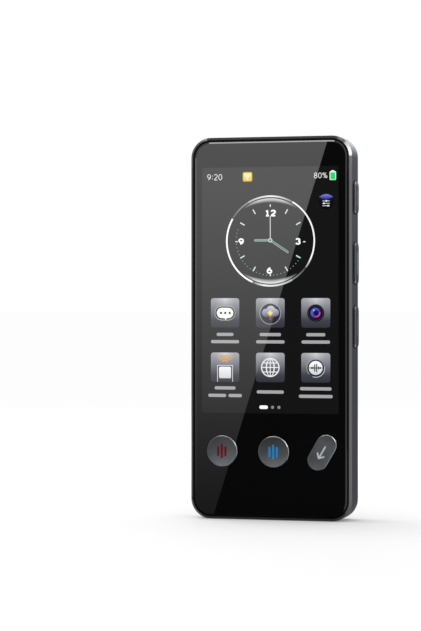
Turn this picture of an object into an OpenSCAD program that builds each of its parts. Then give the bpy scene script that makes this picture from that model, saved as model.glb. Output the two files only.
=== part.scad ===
// Handheld translator: a slim slab with a metal frame, a glass front with three keys,
// three keys on the right side, and a back cover with a speaker grille and a camera.
// The slab stands on its bottom end: X runs to the keyed side, -Y is the glass front and Z is up.
// The origin is at the middle of the bottom end. All sizes are in millimetres.

/* [Body] */
// Width of the metal body
body_w = 58.9; // [58:0.1:62]
// Height of the metal body
body_h = 137; // [134:0.5:145]
// Depth from the glass to the back cover
body_t = 13.4; // [13:0.1:15]
// Radius of the body's four corners
corner_r = 7.3; // [6:0.1:9]
// Thickness of the frame's wall
frame_wall = 1.6; // [1.4:0.1:1.8]
// Width of the front bevel, across the face
front_bevel_w = 0.9; // [0.5:0.05:1]
// Depth of the front bevel, along the side
front_bevel_d = 1.05; // [0.6:0.05:1.4]
// Width and depth of the back bevel
back_bevel = 1.08; // [0.6:0.02:1.2]
// Width of the flat land between the back bevel and the cover's edge
rim_land = 0.15; // [0.1:0.01:0.3]

/* [Glass] */
// Thickness of the front glass
glass_t = 1.1; // [0.9:0.1:1.4]
// Width of the rounded edge of the glass
glass_edge_w = 0.7; // [0.4:0.05:0.9]
// Depth of the rounded edge of the glass
glass_edge_d = 0.35; // [0.2:0.05:0.5]
// Width of the black gasket between the glass and the frame
gasket_w = 0.55; // [0.4:0.01:0.7]
// How far the gasket lies below the face of the glass
gasket_sink = 0.05; // [0.02:0.01:0.1]
// Width of the frame's lip behind the glass
lip_w = 0.9; // [0.7:0.1:1.1]
// Thickness of the frame's lip behind the glass
lip_t = 1; // [0.8:0.1:1.4]

/* [Display] */
// Distance from the body's top to the display module's top edge
display_top = 7.5; // [7:0.1:9]
// Distance from the body's bottom to the display module's bottom edge
display_bottom = 34.5; // [34:0.1:36]
// Gap between the display and the frame's lip
display_gap = 0.45; // [0.3:0.05:0.8]
// Thickness of the liquid crystal cell
lcd_t = 1.6; // [1.2:0.1:1.8]
// Radius of the cell's corners
display_r = 1; // [0.5:0.1:2]
// Thickness of the backlight
backlight_t = 1.2; // [1:0.1:1.6]
// Distance from the cell's edge to the backlight's edge
backlight_inset = 0.2; // [0.1:0.1:0.5]
// Thickness of the foam ring behind the display
foam_t = 0.5; // [0.3:0.1:0.8]
// Width of the foam ring behind the display
foam_w = 2; // [1.5:0.1:3]
// Distance from the cell's edge to the foam ring's edge
foam_inset = 0.5; // [0.3:0.1:0.8]

/* [Front keys] */
// Height of the front keys' middle above the bottom end
front_key_z = 24.4; // [23:0.1:25]
// Distance from the body's left side to the left talk key's middle
left_talk_inset = 11.75; // [11.3:0.05:13]
// Place of the right talk key's middle, from the body's middle
right_talk_x = 1.2; // [0:0.1:2]
// Distance from the body's right side to the back key's middle
back_key_inset = 10.65; // [10:0.05:11.4]
// Diameter of the talk keys
talk_key_d = 11.2; // [10:0.1:12]
// Width of the back key
back_key_w = 7.3; // [6:0.1:8]
// Length of the back key
back_key_l = 13.6; // [12:0.1:14.2]
// Lean of the back key, in degrees from upright
back_key_lean = 30; // [20:1:40]
// How far the front keys stand proud of the glass
front_key_proud = 0.3; // [0.2:0.05:0.5]
// Bevel round the front keys' faces
front_key_bevel = 0.15; // [0.1:0.05:0.3]
// Radius of the hollow in the front keys' faces
front_key_hollow_r = 40; // [30:1:80]
// Travel of the front keys
front_key_travel = 0.3; // [0.2:0.05:0.35]
// Running gap round the front keys
front_key_gap = 0.15; // [0.1:0.05:0.25]
// Width of the collar that keeps a front key behind the glass
front_collar_w = 0.8; // [0.6:0.1:1]
// Thickness of that collar
front_collar_t = 0.5; // [0.4:0.05:0.6]
// Thickness of the board under the front keys
key_board_t = 0.6; // [0.4:0.1:0.8]
// Height of that board
key_board_h = 13.2; // [12:0.1:14]
// Reach of that board past the outer keys' middles
key_board_end = 7; // [6:0.1:8]

/* [Side keys] */
// Distance from the body's top to the upper key's middle
upper_key_drop = 21.85; // [20:0.05:23]
// Distance from the body's top to the middle key's middle
middle_key_drop = 45.25; // [44:0.05:46]
// Distance from the body's top to the lower key's middle
lower_key_drop = 67.95; // [67:0.05:69]
// Length of the upper key
upper_key_l = 11.5; // [10:0.1:13]
// Length of the middle key
middle_key_l = 14.9; // [13:0.1:16]
// Length of the lower key
lower_key_l = 14.9; // [13:0.1:16]
// Width of the side keys
side_key_w = 5.9; // [5:0.1:6.4]
// Offset of the side keys from the body's middle plane, towards the back
side_key_y = 0.9; // [0.6:0.1:1.2]
// Radius of the side keys' corners
side_key_r = 1.2; // [0.8:0.1:2]
// Rounding of the side keys' outer edges
side_key_round = 0.45; // [0.3:0.05:0.6]
// Length of the slope at each end of a side key's face
side_key_slope_l = 2.5; // [1.5:0.1:2.6]
// Fall of that slope
side_key_slope_d = 0.4; // [0.2:0.05:0.45]
// How far the side keys stand proud of the frame
side_key_proud = 0.75; // [0.6:0.05:1]
// Travel of the side keys
side_key_travel = 0.3; // [0.2:0.05:0.4]
// Running gap round the side keys
side_key_gap = 0.25; // [0.15:0.05:0.4]
// Length of the collar past each end of a side key
side_collar_l = 0.8; // [0.6:0.1:1.2]
// Thickness of that collar
side_collar_t = 0.6; // [0.5:0.1:0.8]
// Length of the nub between a side key and its switch
side_nub_l = 0.5; // [0.4:0.1:0.6]
// Width of the coloured windows in the side keys
window_w = 2.2; // [1.6:0.1:3]
// Length of the upper key's window
upper_window_l = 6.1; // [5:0.1:8]
// Length of the middle key's window
middle_window_l = 8.2; // [6:0.1:10]
// Length of the lower key's window
lower_window_l = 6.7; // [5:0.1:9]
// Depth of the coloured windows
window_t = 0.6; // [0.4:0.05:0.8]
// Gap round the coloured windows, and their sink below the key's face
window_fit = 0.02; // [0.01:0.01:0.05]

/* [Switches] */
// Width of a tactile switch
switch_w = 3; // [2.6:0.1:3.6]
// Thickness of a tactile switch's case
switch_t = 0.7; // [0.5:0.05:0.8]
// Diameter of a switch's plunger
plunger_d = 1.6; // [1.2:0.1:2]
// Height of a switch's plunger
plunger_t = 0.3; // [0.2:0.05:0.4]
// Slack between a pressed key and its switch's plunger
switch_slack = 0.1; // [0.05:0.01:0.15]
// Diameter of the nubs that press the switches
nub_d = 2.4; // [2:0.1:3]
// Thickness of the flexible circuit under the side switches
side_flex_t = 0.2; // [0.15:0.05:0.3]
// Thickness of the bracket's sheet
bracket_t = 0.5; // [0.4:0.05:0.6]
// Length of the bracket's foot along the plate
bracket_foot = 3.4; // [3:0.1:4]
// Length of the bracket past the outer keys
bracket_end = 2; // [1:0.1:2.5]
// Rise of the bracket's wall past the side switches
bracket_rise = 1; // [0.5:0.1:1.5]

/* [Back cover] */
// Thickness of the back cover
cover_t = 1.1; // [0.9:0.05:1.2]
// Bevel round the cover's outer edge
cover_bevel = 0.12; // [0.05:0.01:0.15]
// Gap between the cover's edge and the frame
cover_fit = 0.05; // [0.03:0.01:0.1]
// Pitch of the grille's holes
grille_pitch = 2.547; // [2.4:0.001:2.6]
// Distance from the body's top to the grille's top row
grille_drop = 10.3; // [9.8:0.1:10.8]
// Diameter of the grille's through holes
grille_hole_d = 1.1; // [0.8:0.05:1.4]
// Diameter of the grille's shallow dimples
dimple_d = 1.05; // [0.8:0.05:1.4]
// Depth of the dimples, down to the point of their floor
dimple_depth = 0.4; // [0.3:0.05:0.5]
// Depth of the dimples' straight wall
dimple_wall = 0.1; // [0.05:0.05:0.2]

/* [Camera] */
// Distance from the body's top to the camera's middle
camera_drop = 31.9; // [31.5:0.1:32.5]
// Width of the camera's square rim
camera_w = 14.6; // [13:0.1:15.4]
// Radius of the rim's corners
camera_r = 4.5; // [3.5:0.1:5.5]
// Width of the rim's bright border
camera_rim_w = 0.8; // [0.6:0.05:1]
// How far the rim stands proud of the cover
camera_proud = 0.5; // [0.4:0.05:0.8]
// Rounding of the rim's outer edge
camera_rim_round = 0.3; // [0.2:0.05:0.4]
// Bevel of the rim's inner edge
camera_rim_bevel = 0.18; // [0.1:0.02:0.2]
// How far the blue plate lies below the rim's top
camera_sink = 0.2; // [0.1:0.05:0.3]
// How far the lens ring stands proud of the blue plate
lens_ring_proud = 0.15; // [0.1:0.05:0.2]
// How far the lens lies below the top of its ring
lens_sink = 0.25; // [0.2:0.05:0.4]
// Bevel of the lens ring's inner edge
lens_ring_bevel = 0.2; // [0.1:0.05:0.25]
// Rise of the lens's middle above its edge
lens_crown = 0.1; // [0.05:0.05:0.15]
// Outer diameter of the lens ring
lens_ring_d = 6.1; // [5.5:0.1:7]
// Diameter of the lens
lens_d = 4.6; // [4:0.1:5]
// Width of the camera module's base
module_w = 8.5; // [8:0.1:9]
// Thickness of the camera module's base
module_t = 3; // [2.5:0.1:3.2]
// Diameter of the camera module's barrel
barrel_d = 5.7; // [5:0.1:6]
// Gap between the barrel and the lens
barrel_gap = 0.1; // [0.05:0.05:0.3]
// Width of the camera's flexible circuit
camera_flex_w = 5; // [4:0.1:6]

/* [Lanyard] */
// Width of the lanyard slot
slot_w = 8.2; // [7:0.1:9]
// Height of the lanyard slot
slot_h = 4; // [3.4:0.1:4.4]
// Distance from the body's top to the slot's upper edge
slot_drop = 1.7; // [1.62:0.01:2]
// Radius of the slot's corners
slot_r = 1; // [0.6:0.1:1.4]
// Bevel round the slot
slot_bevel = 0.3; // [0.2:0.05:0.32]
// Diameter of the post that the lanyard loops round
post_d = 0.95; // [0.8:0.05:1.2]
// Depth of the post's middle below the cover's face
post_depth = 1.5; // [1.2:0.1:1.8]
// Distance of the post from the slot's middle, away from the side keys
post_off = 1.6; // [0:0.1:1.8]
// Wall of the lanyard pocket
pocket_wall = 0.7; // [0.6:0.05:0.75]
// Gap between the lanyard pocket and the frame
pocket_gap = 0.1; // [0.05:0.05:0.15]

/* [Speaker] */
// Width of the speaker box
speaker_w = 28; // [27:0.5:30]
// Height of the speaker box
speaker_h = 12; // [11:0.1:12.4]
// Thickness of the speaker box
speaker_t = 3.4; // [3:0.1:3.5]
// Wall of the speaker box
speaker_wall = 1; // [0.8:0.1:1.2]
// Radius of the speaker box's corners
speaker_r = 1.5; // [1:0.1:2]
// Thickness of the dust mesh behind the grille
mesh_t = 0.2; // [0.1:0.05:0.25]
// Thickness of the foam gasket round the speaker's mouth
speaker_gasket_t = 0.4; // [0.3:0.05:0.45]
// Width of the foam gasket
speaker_gasket_w = 1.6; // [1.2:0.1:2]
// Width of the soft surround of the speaker's cone
surround_w = 1.1; // [0.8:0.1:1.3]
// Thickness of the surround
surround_t = 1; // [0.8:0.1:1.2]
// Rise of the dome in the middle of the cone
dome_h = 0.5; // [0.3:0.1:0.8]
// Gap between the cone and its box
cone_gap = 0.1; // [0.05:0.05:0.2]

/* [Chassis] */
// Thickness of the middle plate
plate_t = 0.8; // [0.6:0.1:1]
// Gap between the middle plate and the frame
plate_gap = 0.15; // [0.1:0.05:0.3]
// Reach of the frame's lugs into the body
lug_l = 4.5; // [4:0.1:5]
// Width of the frame's lugs
lug_w = 5; // [4:0.1:6]
// Thickness of the frame's lugs
lug_t = 2; // [1.6:0.1:2]
// Distance of the end lugs from the body's ends
lug_end = 8.5; // [8:0.1:9]
// Distance of the middle lugs from the body's top
lug_mid_drop = 89; // [86:0.5:93]
// Diameter of the screws' shanks
screw_d = 1.2; // [1:0.1:1.3]
// Diameter of the screws' heads
screw_head_d = 2.4; // [2:0.1:2.6]
// Gap between a screw's shank and its hole
screw_fit = 0.04; // [0.02:0.01:0.1]
// Length of the plate screws
plate_screw_l = 2.6; // [2:0.1:2.8]
// Thickness of the board screws' heads
board_head_t = 0.5; // [0.4:0.05:0.7]
// Length of the board screws' shanks
board_screw_l = 1.6; // [1.4:0.1:1.6]

/* [Boards and battery] */
// Height of the main board
main_board_h = 41.5; // [40:0.5:43]
// Distance from the body's top to the main board's top edge
main_board_drop = 7.5; // [7:0.1:8]
// Thickness of the main board
main_board_t = 1; // [0.8:0.1:1]
// Height of the bosses under the main board
boss_h = 1.6; // [1.4:0.1:1.7]
// Diameter of those bosses
boss_d = 3.2; // [2.8:0.1:3.6]
// Gap between the boards and the parts beside them
board_gap = 0.5; // [0.4:0.1:0.8]
// Distance of the boards' screws from the boards' edges
screw_inset = 2.5; // [2.4:0.1:3]
// Height of the lower board
lower_board_h = 15.3; // [14:0.1:15.6]
// Thickness of the lower board
lower_board_t = 0.8; // [0.7:0.1:1]
// Gap between the lower board and the frame's bottom wall
lower_board_gap = 0.6; // [0.4:0.1:1]
// Distance of the lower board's screws from the middle
lower_screw_x = 12; // [9:0.5:16]
// Width of the flexible circuit between the two boards
link_w = 3; // [2.4:0.1:3.4]
// Thickness of that flexible circuit
link_t = 0.2; // [0.15:0.05:0.3]
// Thickness of the battery
battery_t = 5.2; // [4.5:0.1:5.8]
// Free space round the battery
battery_gap = 0.5; // [0.4:0.1:0.8]
// Rounding of the battery's long edges
battery_round = 0.8; // [0.5:0.1:1]
// Radius of the battery's corners
battery_r = 2; // [1.5:0.1:3]
// Thickness of the battery's tape
tape_t = 0.15; // [0.1:0.05:0.3]
// Margin between the tape's edge and the battery's edge
tape_margin = 2; // [1.5:0.1:3]
// Height of the battery's terminal strip
terrace_h = 3; // [2.5:0.1:4]
// Place of the battery's lead, from the body's middle
lead_x = 9; // [6:0.5:12]
// Width of the battery's lead
lead_w = 6; // [5:0.1:7]
// Height of the shield cans
shield_h = 1.8; // [1.5:0.1:2.2]
// Sheet of the shield cans
shield_wall = 0.2; // [0.15:0.05:0.3]
// Distance from the main board's bottom edge to the shield cans
shield_foot = 7; // [6.5:0.1:8]
// Gap between the shield cans and the parts round them
shield_gap = 2; // [1.5:0.1:2.5]
// Width of the processor
chip_w = 10; // [8:0.5:11]
// Thickness of the processor
chip_t = 1.1; // [0.8:0.1:1.2]
// Thickness of the connectors
connector_t = 0.9; // [0.7:0.1:1.1]
// Length of the connectors along the board
connector_h = 2; // [1.8:0.1:2.4]
// Width of the antenna strip
antenna_w = 5; // [4:0.1:5.4]
// Gap between the antenna strip and the middle plate
antenna_gap = 1; // [0.5:0.1:1.2]
// Distance of the antenna strip from the main board's ends
antenna_end = 5.5; // [5:0.1:7]

/* [Charging port] */
// Width of the port's shell
port_w = 8.94; // [8.8:0.01:9.1]
// Height of the port's shell
port_h = 3.16; // [3:0.01:3.26]
// Sheet of the port's shell
port_wall = 0.3; // [0.25:0.05:0.35]
// Length of the port's shell
port_l = 7.3; // [6.8:0.1:8]
// How far the port's mouth lies inside the bottom end
port_recess = 0.3; // [0.2:0.05:0.6]
// Gap between the port's shell and the frame
port_gap = 0.15; // [0.1:0.05:0.2]
// Width of the port's tongue
tongue_w = 6.69; // [6.5:0.01:6.8]
// Thickness of the port's tongue
tongue_t = 0.7; // [0.6:0.05:0.8]
// Length of the port's tongue
tongue_l = 4.45; // [4:0.05:4.6]
// Distance of the tongue's tip inside the shell's mouth
tongue_inset = 0.7; // [0.5:0.05:0.8]
// Gap between the tongue's block and the shell
tongue_fit = 0.01; // [0.01:0.01:0.05]
// Place of the microphone across the bottom end
mic_x = 14; // [12:0.1:16]
// Diameter of the microphone's hole
mic_hole_d = 1; // [0.8:0.1:1.2]
// Width of the microphone
mic_w = 3; // [2.6:0.1:3.4]
// Length of the microphone
mic_l = 2.5; // [2:0.1:3]
// Thickness of the microphone
mic_t = 1; // [0.9:0.1:1.1]
// Distance of the microphone from the lower board's bottom edge
mic_inset = 0.4; // [0.2:0.1:0.8]

/* [Hidden] */
$fn = 64;
// A cut runs this far past the faces that it opens.
cut = 1;
// A round end keeps this much of its straight side, so that its two arcs stay apart.
flat = 0.01;
// Steps along a curve that a profile follows, such as a hollow, a slope or a crown
curve_steps = 6;

// Planes across the depth, from the glass to the cover
front_y = -body_t / 2;
glass_back = front_y + glass_t;
lcd_back = glass_back + lcd_t;
backlight_back = lcd_back + backlight_t;
plate_front = backlight_back + foam_t;
plate_back = plate_front + plate_t;
board_front = plate_back + boss_h;
board_back = board_front + main_board_t;
lower_back = plate_back + lower_board_t;
back_y = body_t / 2;
cover_in = back_y - cover_t;

// The frame's openings
cavity_w = body_w - 2 * frame_wall;
cavity_h = body_h - 2 * frame_wall;
cavity_r = corner_r - frame_wall;
mouth_w = body_w - 2 * front_bevel_w;
mouth_h = body_h - 2 * front_bevel_w;
mouth_r = corner_r - front_bevel_w;
gasket_fit = 0.03;
glass_w = mouth_w - 2 * (gasket_w + gasket_fit);
glass_h = mouth_h - 2 * (gasket_w + gasket_fit);
glass_r = mouth_r - gasket_w - gasket_fit;
cover_inset = back_bevel + rim_land;
cover_w = body_w - 2 * cover_inset;
cover_h = body_h - 2 * cover_inset;
cover_r = corner_r - cover_inset;

// The display
display_w = cavity_w - 2 * (lip_w + display_gap);
display_h = body_h - display_top - display_bottom;
display_z = display_bottom + display_h / 2;

// The front keys
left_talk_x = left_talk_inset - body_w / 2;
back_key_x = body_w / 2 - back_key_inset;
front_key_stack = front_key_proud + glass_t;
collar_gap = 0.1;
front_collar_y = glass_back + collar_gap;
key_board_front = plate_front - key_board_t;
front_switch_top = key_board_front - switch_t - plunger_t;
front_nub_tip = front_switch_top - front_key_travel - switch_slack;
key_board_x = (left_talk_x + back_key_x) / 2;
key_board_w = back_key_x - left_talk_x + 2 * key_board_end;

// The side keys
side_x = body_w / 2;
cavity_x = cavity_w / 2;
upper_key_z = body_h - upper_key_drop;
middle_key_z = body_h - middle_key_drop;
lower_key_z = body_h - lower_key_drop;
side_collar_x = cavity_x - collar_gap - side_collar_t;
side_nub_x = side_collar_x - side_nub_l;
side_switch_x = side_nub_x - side_key_travel - switch_slack - switch_t - plunger_t;
side_flex_x = side_switch_x - side_flex_t;
bracket_x = side_flex_x - bracket_t;
bracket_top = upper_key_z + upper_key_l / 2 + bracket_end;
bracket_bottom = lower_key_z - lower_key_l / 2 - bracket_end;
bracket_back = side_key_y + switch_w / 2 + bracket_rise;
foot_x = bracket_x + bracket_t - bracket_foot;

// The grille
middle_row = 2;
last_row = 2 * middle_row;
outer_columns = 8;
inner_columns = 9;
sound_columns = 4;
sound_margin = 0.3;
speaker_z = body_h - grille_drop - middle_row * grille_pitch;
sound_w = 2 * sound_columns * grille_pitch + grille_hole_d + 2 * sound_margin;
sound_h = 2 * grille_pitch + grille_hole_d + 2 * sound_margin;
mesh_w = sound_w + 2 * speaker_gasket_w;
mesh_h = sound_h + 2 * speaker_gasket_w;
mesh_back = cover_in - mesh_t;
speaker_back = mesh_back - speaker_gasket_t;

// The camera
camera_z = body_h - camera_drop;
camera_fit = 0.03;
camera_hole_w = camera_w - 2 * camera_rim_w;
camera_hole_r = camera_r - camera_rim_w;
camera_top = back_y + camera_proud;
camera_plate_top = camera_top - camera_sink;
lens_top = camera_plate_top + lens_ring_proud;

// The lanyard pocket
slot_z = body_h - slot_drop - slot_h / 2;
post_y = back_y - post_depth;
pocket_floor = back_y - slot_w / 2 - pocket_wall;

// The lugs and the screws
lug_x = cavity_x - lug_l / 2;
lug_zs = [lug_end, body_h - lug_mid_drop, body_h - lug_end];

// The boards and the battery between them
board_right = foot_x - board_gap;
board_left = lug_l - cavity_x + board_gap;
board_top = body_h - main_board_drop;
board_bottom = board_top - main_board_h;
board_x = (board_left + board_right) / 2;
lower_bottom = frame_wall + lower_board_gap;
lower_board_w = 2 * (cavity_x - lug_l - board_gap);
lower_top = lower_bottom + lower_board_h;
link_right = board_left + link_w;
battery_left = link_right + battery_gap;
battery_right = board_right;
battery_x = (battery_left + battery_right) / 2;
battery_w = battery_right - battery_left;
battery_bottom = lower_top + battery_gap;
battery_top = board_bottom - battery_gap;
battery_h = battery_top - battery_bottom;
battery_front = plate_back + tape_t;
main_screw_spots = [
  [link_right + screw_inset, board_bottom + screw_inset],
  [board_right - screw_inset, board_bottom + screw_inset],
  [board_left + screw_inset, board_top - screw_inset],
  [board_right - screw_inset, board_top - screw_inset]
];
lower_screw_spots = [
  [-lower_screw_x, lower_top - screw_inset], [lower_screw_x, lower_top - screw_inset]
];

// The shields stand on both sides of the camera, below the speaker
shield_top = speaker_z - speaker_h / 2 - shield_gap;
shield_bottom = board_bottom + shield_foot;
processor_x = (board_left - module_w / 2) / 2;
radio_x = (board_right + module_w / 2) / 2;

// The charging port and the microphone
port_y = lower_back + port_h / 2;
mic_y = lower_back + mic_t / 2;
mic_bottom = lower_bottom + mic_inset;

// The height of a front key's hollow face at a distance from its middle, against its rim.
function hollow(r, rim) = (r * r - rim * rim) / (2 * front_key_hollow_r);

// The upper half of a side key's face, as [place along the key, height]: the slope runs past its end.
function side_face(l, top) = [
  for (i = [0:curve_steps + 2])
    let (s = i / curve_steps)
    [l / 2 - side_key_slope_l * (1 - s), top - side_key_slope_d * s * s]
];

// Turns a flat shape so that its XY lies in the body's XZ and its Z points out of the front.
module facing_front(y, z = 0) {
  translate([0, y, z]) rotate([90, 0, 0]) children();
}

// The same for the back: its X then runs the other way.
module facing_back(y, z = 0) {
  translate([0, y, z]) rotate([90, 0, 180]) children();
}

// Turns a flat shape so that its X runs along the body's Y, its Y is up and its Z points right.
module facing_right(x, y = 0, z = 0) {
  translate([x, y, z]) rotate([90, 0, 90]) children();
}

// A flat rectangle with round corners.
module round_rect(w, h, r) {
  square([w - 2 * r, h], center = true);
  square([w, h - 2 * r], center = true);
  for (x = [-1, 1], y = [-1, 1]) {
    translate([x * (w / 2 - r), y * (h / 2 - r)]) circle(r);
  }
}

// A plate with round corners and a shaped edge, given as [inset, height] from its low face up.
module plate(w, h, r, edge) {
  last = len(edge) - 1;
  corner = concat([[0, edge[0][1]]], [for (e = edge) [r - e[0], e[1]]], [[0, edge[last][1]]]);
  section = concat(
    [for (e = edge) [h / 2 - e[0], e[1]]],
    [for (i = [last:-1:0]) [edge[i][0] - h / 2, edge[i][1]]]
  );
  for (c = [[1, 1, 0], [-1, 1, 90], [-1, -1, 180], [1, -1, 270]]) {
    translate([c[0] * (w / 2 - r), c[1] * (h / 2 - r), 0])
      rotate(c[2]) rotate_extrude(angle = 90) polygon(corner);
  }
  if (h > 2 * r) {
    for (turn = [0, 180]) {
      rotate(turn) translate([w / 2 - r, h / 2 - r, 0])
        rotate([90, 0, 0]) linear_extrude(h - 2 * r) polygon(corner);
    }
  }
  if (w > 2 * r) {
    translate([r - w / 2, 0, 0]) rotate([90, 0, 90]) linear_extrude(w - 2 * r) polygon(section);
  }
}

// A box given by its middle in X and Z, its size, and the planes that bound it in Y.
module bar(x, z, w, h, y0, y1) {
  translate([x - w / 2, y0, z - h / 2]) cube([w, y1 - y0, h]);
}

// A cylinder along Y between two planes.
module rod(x, z, d, y0, y1) {
  translate([x, y0, z]) rotate([-90, 0, 0]) cylinder(h = y1 - y0, d = d);
}

// The frame's ring of metal with its lip, lugs, key pockets and port.
module side_frame() {
  edge = [
    [back_bevel, 0], [0, back_bevel], [0, body_t - front_bevel_d], [front_bevel_w, body_t]
  ];
  color("#45474a") difference() {
    union() {
      difference() {
        facing_front(back_y, body_h / 2) plate(body_w, body_h, corner_r, edge);
        facing_front(back_y + cut, body_h / 2)
          linear_extrude(back_y + cut - glass_back - lip_t) round_rect(cavity_w, cavity_h, cavity_r);
        facing_front(back_y, body_h / 2) linear_extrude(body_t)
          round_rect(cavity_w - 2 * lip_w, cavity_h - 2 * lip_w, cavity_r - lip_w);
        facing_front(glass_back, body_h / 2)
          linear_extrude(glass_t + cut) round_rect(mouth_w, mouth_h, mouth_r);
        facing_front(back_y + cut, body_h / 2) linear_extrude(cover_t + cut)
          round_rect(cover_w + 2 * cover_fit, cover_h + 2 * cover_fit, cover_r + cover_fit);
      }
      for (side = [-1, 1], z = lug_zs) {
        bar(side * (lug_x + frame_wall / 4), z, lug_l + frame_wall / 2, lug_w,
          plate_back, plate_back + lug_t);
      }
    }
    for (side = [-1, 1], z = lug_zs) {
      rod(side * lug_x, z, screw_d + 2 * screw_fit, plate_back - cut, plate_back + lug_t + cut);
    }
    side_pocket(upper_key_z, upper_key_l);
    side_pocket(middle_key_z, middle_key_l);
    side_pocket(lower_key_z, lower_key_l);
    translate([0, port_y, -cut]) linear_extrude(frame_wall + 2 * cut)
      round_rect(port_w + 2 * port_gap, port_h + 2 * port_gap, port_h / 2 + port_gap - flat);
    translate([mic_x, mic_y, -cut]) cylinder(h = frame_wall + 2 * cut, d = mic_hole_d);
    pocket_notch();
  }
}

// The opening in the right wall for one side key.
module side_pocket(z, l) {
  facing_right(cavity_x - cut, side_key_y, z) linear_extrude(frame_wall + 2 * cut)
    round_rect(side_key_w + 2 * side_key_gap, l + 2 * side_key_gap, side_key_r + side_key_gap);
}

// The room in the top wall for the lanyard pocket.
module pocket_notch() {
  around = 2 * (pocket_wall + pocket_gap);
  bar(0, slot_z, slot_w + around, slot_h + around, pocket_floor - pocket_gap, cover_in + cut / 2);
}

// The glass, with a rounded edge and a hole for each front key.
module front_glass() {
  edge = [
    [0, 0], [0, glass_t - glass_edge_d], [0.06 * glass_edge_w, glass_t - 0.55 * glass_edge_d],
    [0.35 * glass_edge_w, glass_t - 0.15 * glass_edge_d], [glass_edge_w, glass_t]
  ];
  color("#0d0e10") difference() {
    facing_front(glass_back, body_h / 2) plate(glass_w, glass_h, glass_r, edge);
    for (x = [left_talk_x, right_talk_x]) {
      rod(x, front_key_z, talk_key_d + 2 * front_key_gap, front_y - cut, glass_back + cut);
    }
    at_back_key(glass_back + cut) linear_extrude(glass_t + 2 * cut)
      pill(back_key_w + 2 * front_key_gap, back_key_l + 2 * front_key_gap);
  }
}

// Places a flat shape at the back key, leaning as it does.
module at_back_key(y) {
  facing_front(y, front_key_z) translate([back_key_x, 0, 0]) rotate(-back_key_lean) children();
}

// A flat pill shape that stands on its end.
module pill(w, l) {
  square([w, l - w], center = true);
  for (y = [-1, 1]) {
    translate([0, y * (l - w) / 2]) circle(d = w);
  }
}

module glass_gasket() {
  outer_w = mouth_w - 2 * gasket_fit;
  outer_h = mouth_h - 2 * gasket_fit;
  outer_r = mouth_r - gasket_fit;
  inner = gasket_w - gasket_fit;
  color("#08080a") facing_front(glass_back, body_h / 2) linear_extrude(glass_t - gasket_sink) difference() {
    round_rect(outer_w, outer_h, outer_r);
    round_rect(outer_w - 2 * inner, outer_h - 2 * inner, outer_r - inner);
  }
}

module lcd_panel() {
  color("#101418") facing_front(lcd_back, display_z)
    linear_extrude(lcd_t) round_rect(display_w, display_h, display_r);
}

// A tray of sheet metal with a lit sheet in it, as one piece behind the cell.
module backlight() {
  w = display_w - 2 * backlight_inset;
  h = display_h - 2 * backlight_inset;
  color("#c9ccd0") facing_front(backlight_back, display_z)
    linear_extrude(backlight_t) round_rect(w, h, display_r);
}

module display_foam() {
  w = display_w - 2 * foam_inset;
  h = display_h - 2 * foam_inset;
  color("#202022") facing_front(plate_front, display_z) linear_extrude(foam_t) difference() {
    round_rect(w, h, display_r);
    round_rect(w - 2 * foam_w, h - 2 * foam_w, display_r / 2);
  }
}

// The sheet that carries the boards and the battery, with bosses for the main board.
module mid_plate() {
  notch_x = side_nub_x - side_key_travel;
  notch_h = bracket_top - bracket_bottom;
  color("#9a9da1") difference() {
    union() {
      facing_front(plate_back, body_h / 2) linear_extrude(plate_t)
        round_rect(cavity_w - 2 * plate_gap, cavity_h - 2 * plate_gap, cavity_r - plate_gap);
      for (spot = main_screw_spots) {
        rod(spot[0], spot[1], boss_d, plate_front, board_front);
      }
    }
    bar(notch_x + cut + frame_wall, (bracket_top + bracket_bottom) / 2, 2 * (cut + frame_wall), notch_h,
      plate_front - cut, plate_back + cut);
    for (spot = main_screw_spots) {
      rod(spot[0], spot[1], screw_d + 2 * screw_fit, plate_front - cut, board_front + cut);
    }
    for (spot = lower_screw_spots) {
      rod(spot[0], spot[1], screw_d + 2 * screw_fit, plate_front - cut, plate_back + cut);
    }
    for (side = [-1, 1], z = lug_zs) {
      rod(side * lug_x, z, screw_d + 2 * screw_fit, plate_front - cut, plate_back + cut);
      countersink(side * lug_x, z, screw_head_d + 2 * screw_fit);
    }
  }
}

// The cone that a plate screw's head fills.
module countersink(x, z, d) {
  translate([x, plate_front, z]) rotate([-90, 0, 0])
    cylinder(h = (d - screw_d) / 2, d1 = d, d2 = screw_d);
}

module plate_screws() {
  color("#b8babd") for (side = [-1, 1], z = lug_zs) {
    union() {
      countersink(side * lug_x, z, screw_head_d);
      rod(side * lug_x, z, screw_d, plate_front, plate_front + plate_screw_l);
    }
  }
}

// The cover with its grille, camera window and lanyard slot.
module back_cover() {
  cover_edge = [[0, 0], [0, cover_t - cover_bevel], [cover_bevel, cover_t]];
  slot_edge = [
    [slot_bevel, 0], [slot_bevel, cover_t - slot_bevel], [0, cover_t], [0, cover_t + cut]
  ];
  color("#6e7073") difference() {
    facing_back(cover_in, body_h / 2) plate(cover_w, cover_h, cover_r, cover_edge);
    facing_back(cover_in - cut, camera_z) linear_extrude(cover_t + 2 * cut)
      round_rect(camera_hole_w, camera_hole_w, camera_hole_r);
    facing_back(cover_in, slot_z)
      plate(slot_w + 2 * slot_bevel, slot_h + 2 * slot_bevel, slot_r + slot_bevel, slot_edge);
    facing_back(cover_in - cut, slot_z)
      linear_extrude(2 * cut) round_rect(slot_w, slot_h, slot_r);
    grille();
  }
}

// The middle holes of the inner rows go through, and the others are only dimples.
module grille() {
  for (row = [0:last_row]) {
    inner = row > 0 && row < last_row;
    reach = inner ? inner_columns : outer_columns;
    z = speaker_z + (middle_row - row) * grille_pitch;
    for (column = [-reach:reach - 1]) {
      if (inner && abs(column) <= sound_columns) {
        rod(column * grille_pitch, z, grille_hole_d, cover_in - cut, back_y + cut);
      } else {
        dimple(column * grille_pitch, z);
      }
    }
  }
}

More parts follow.
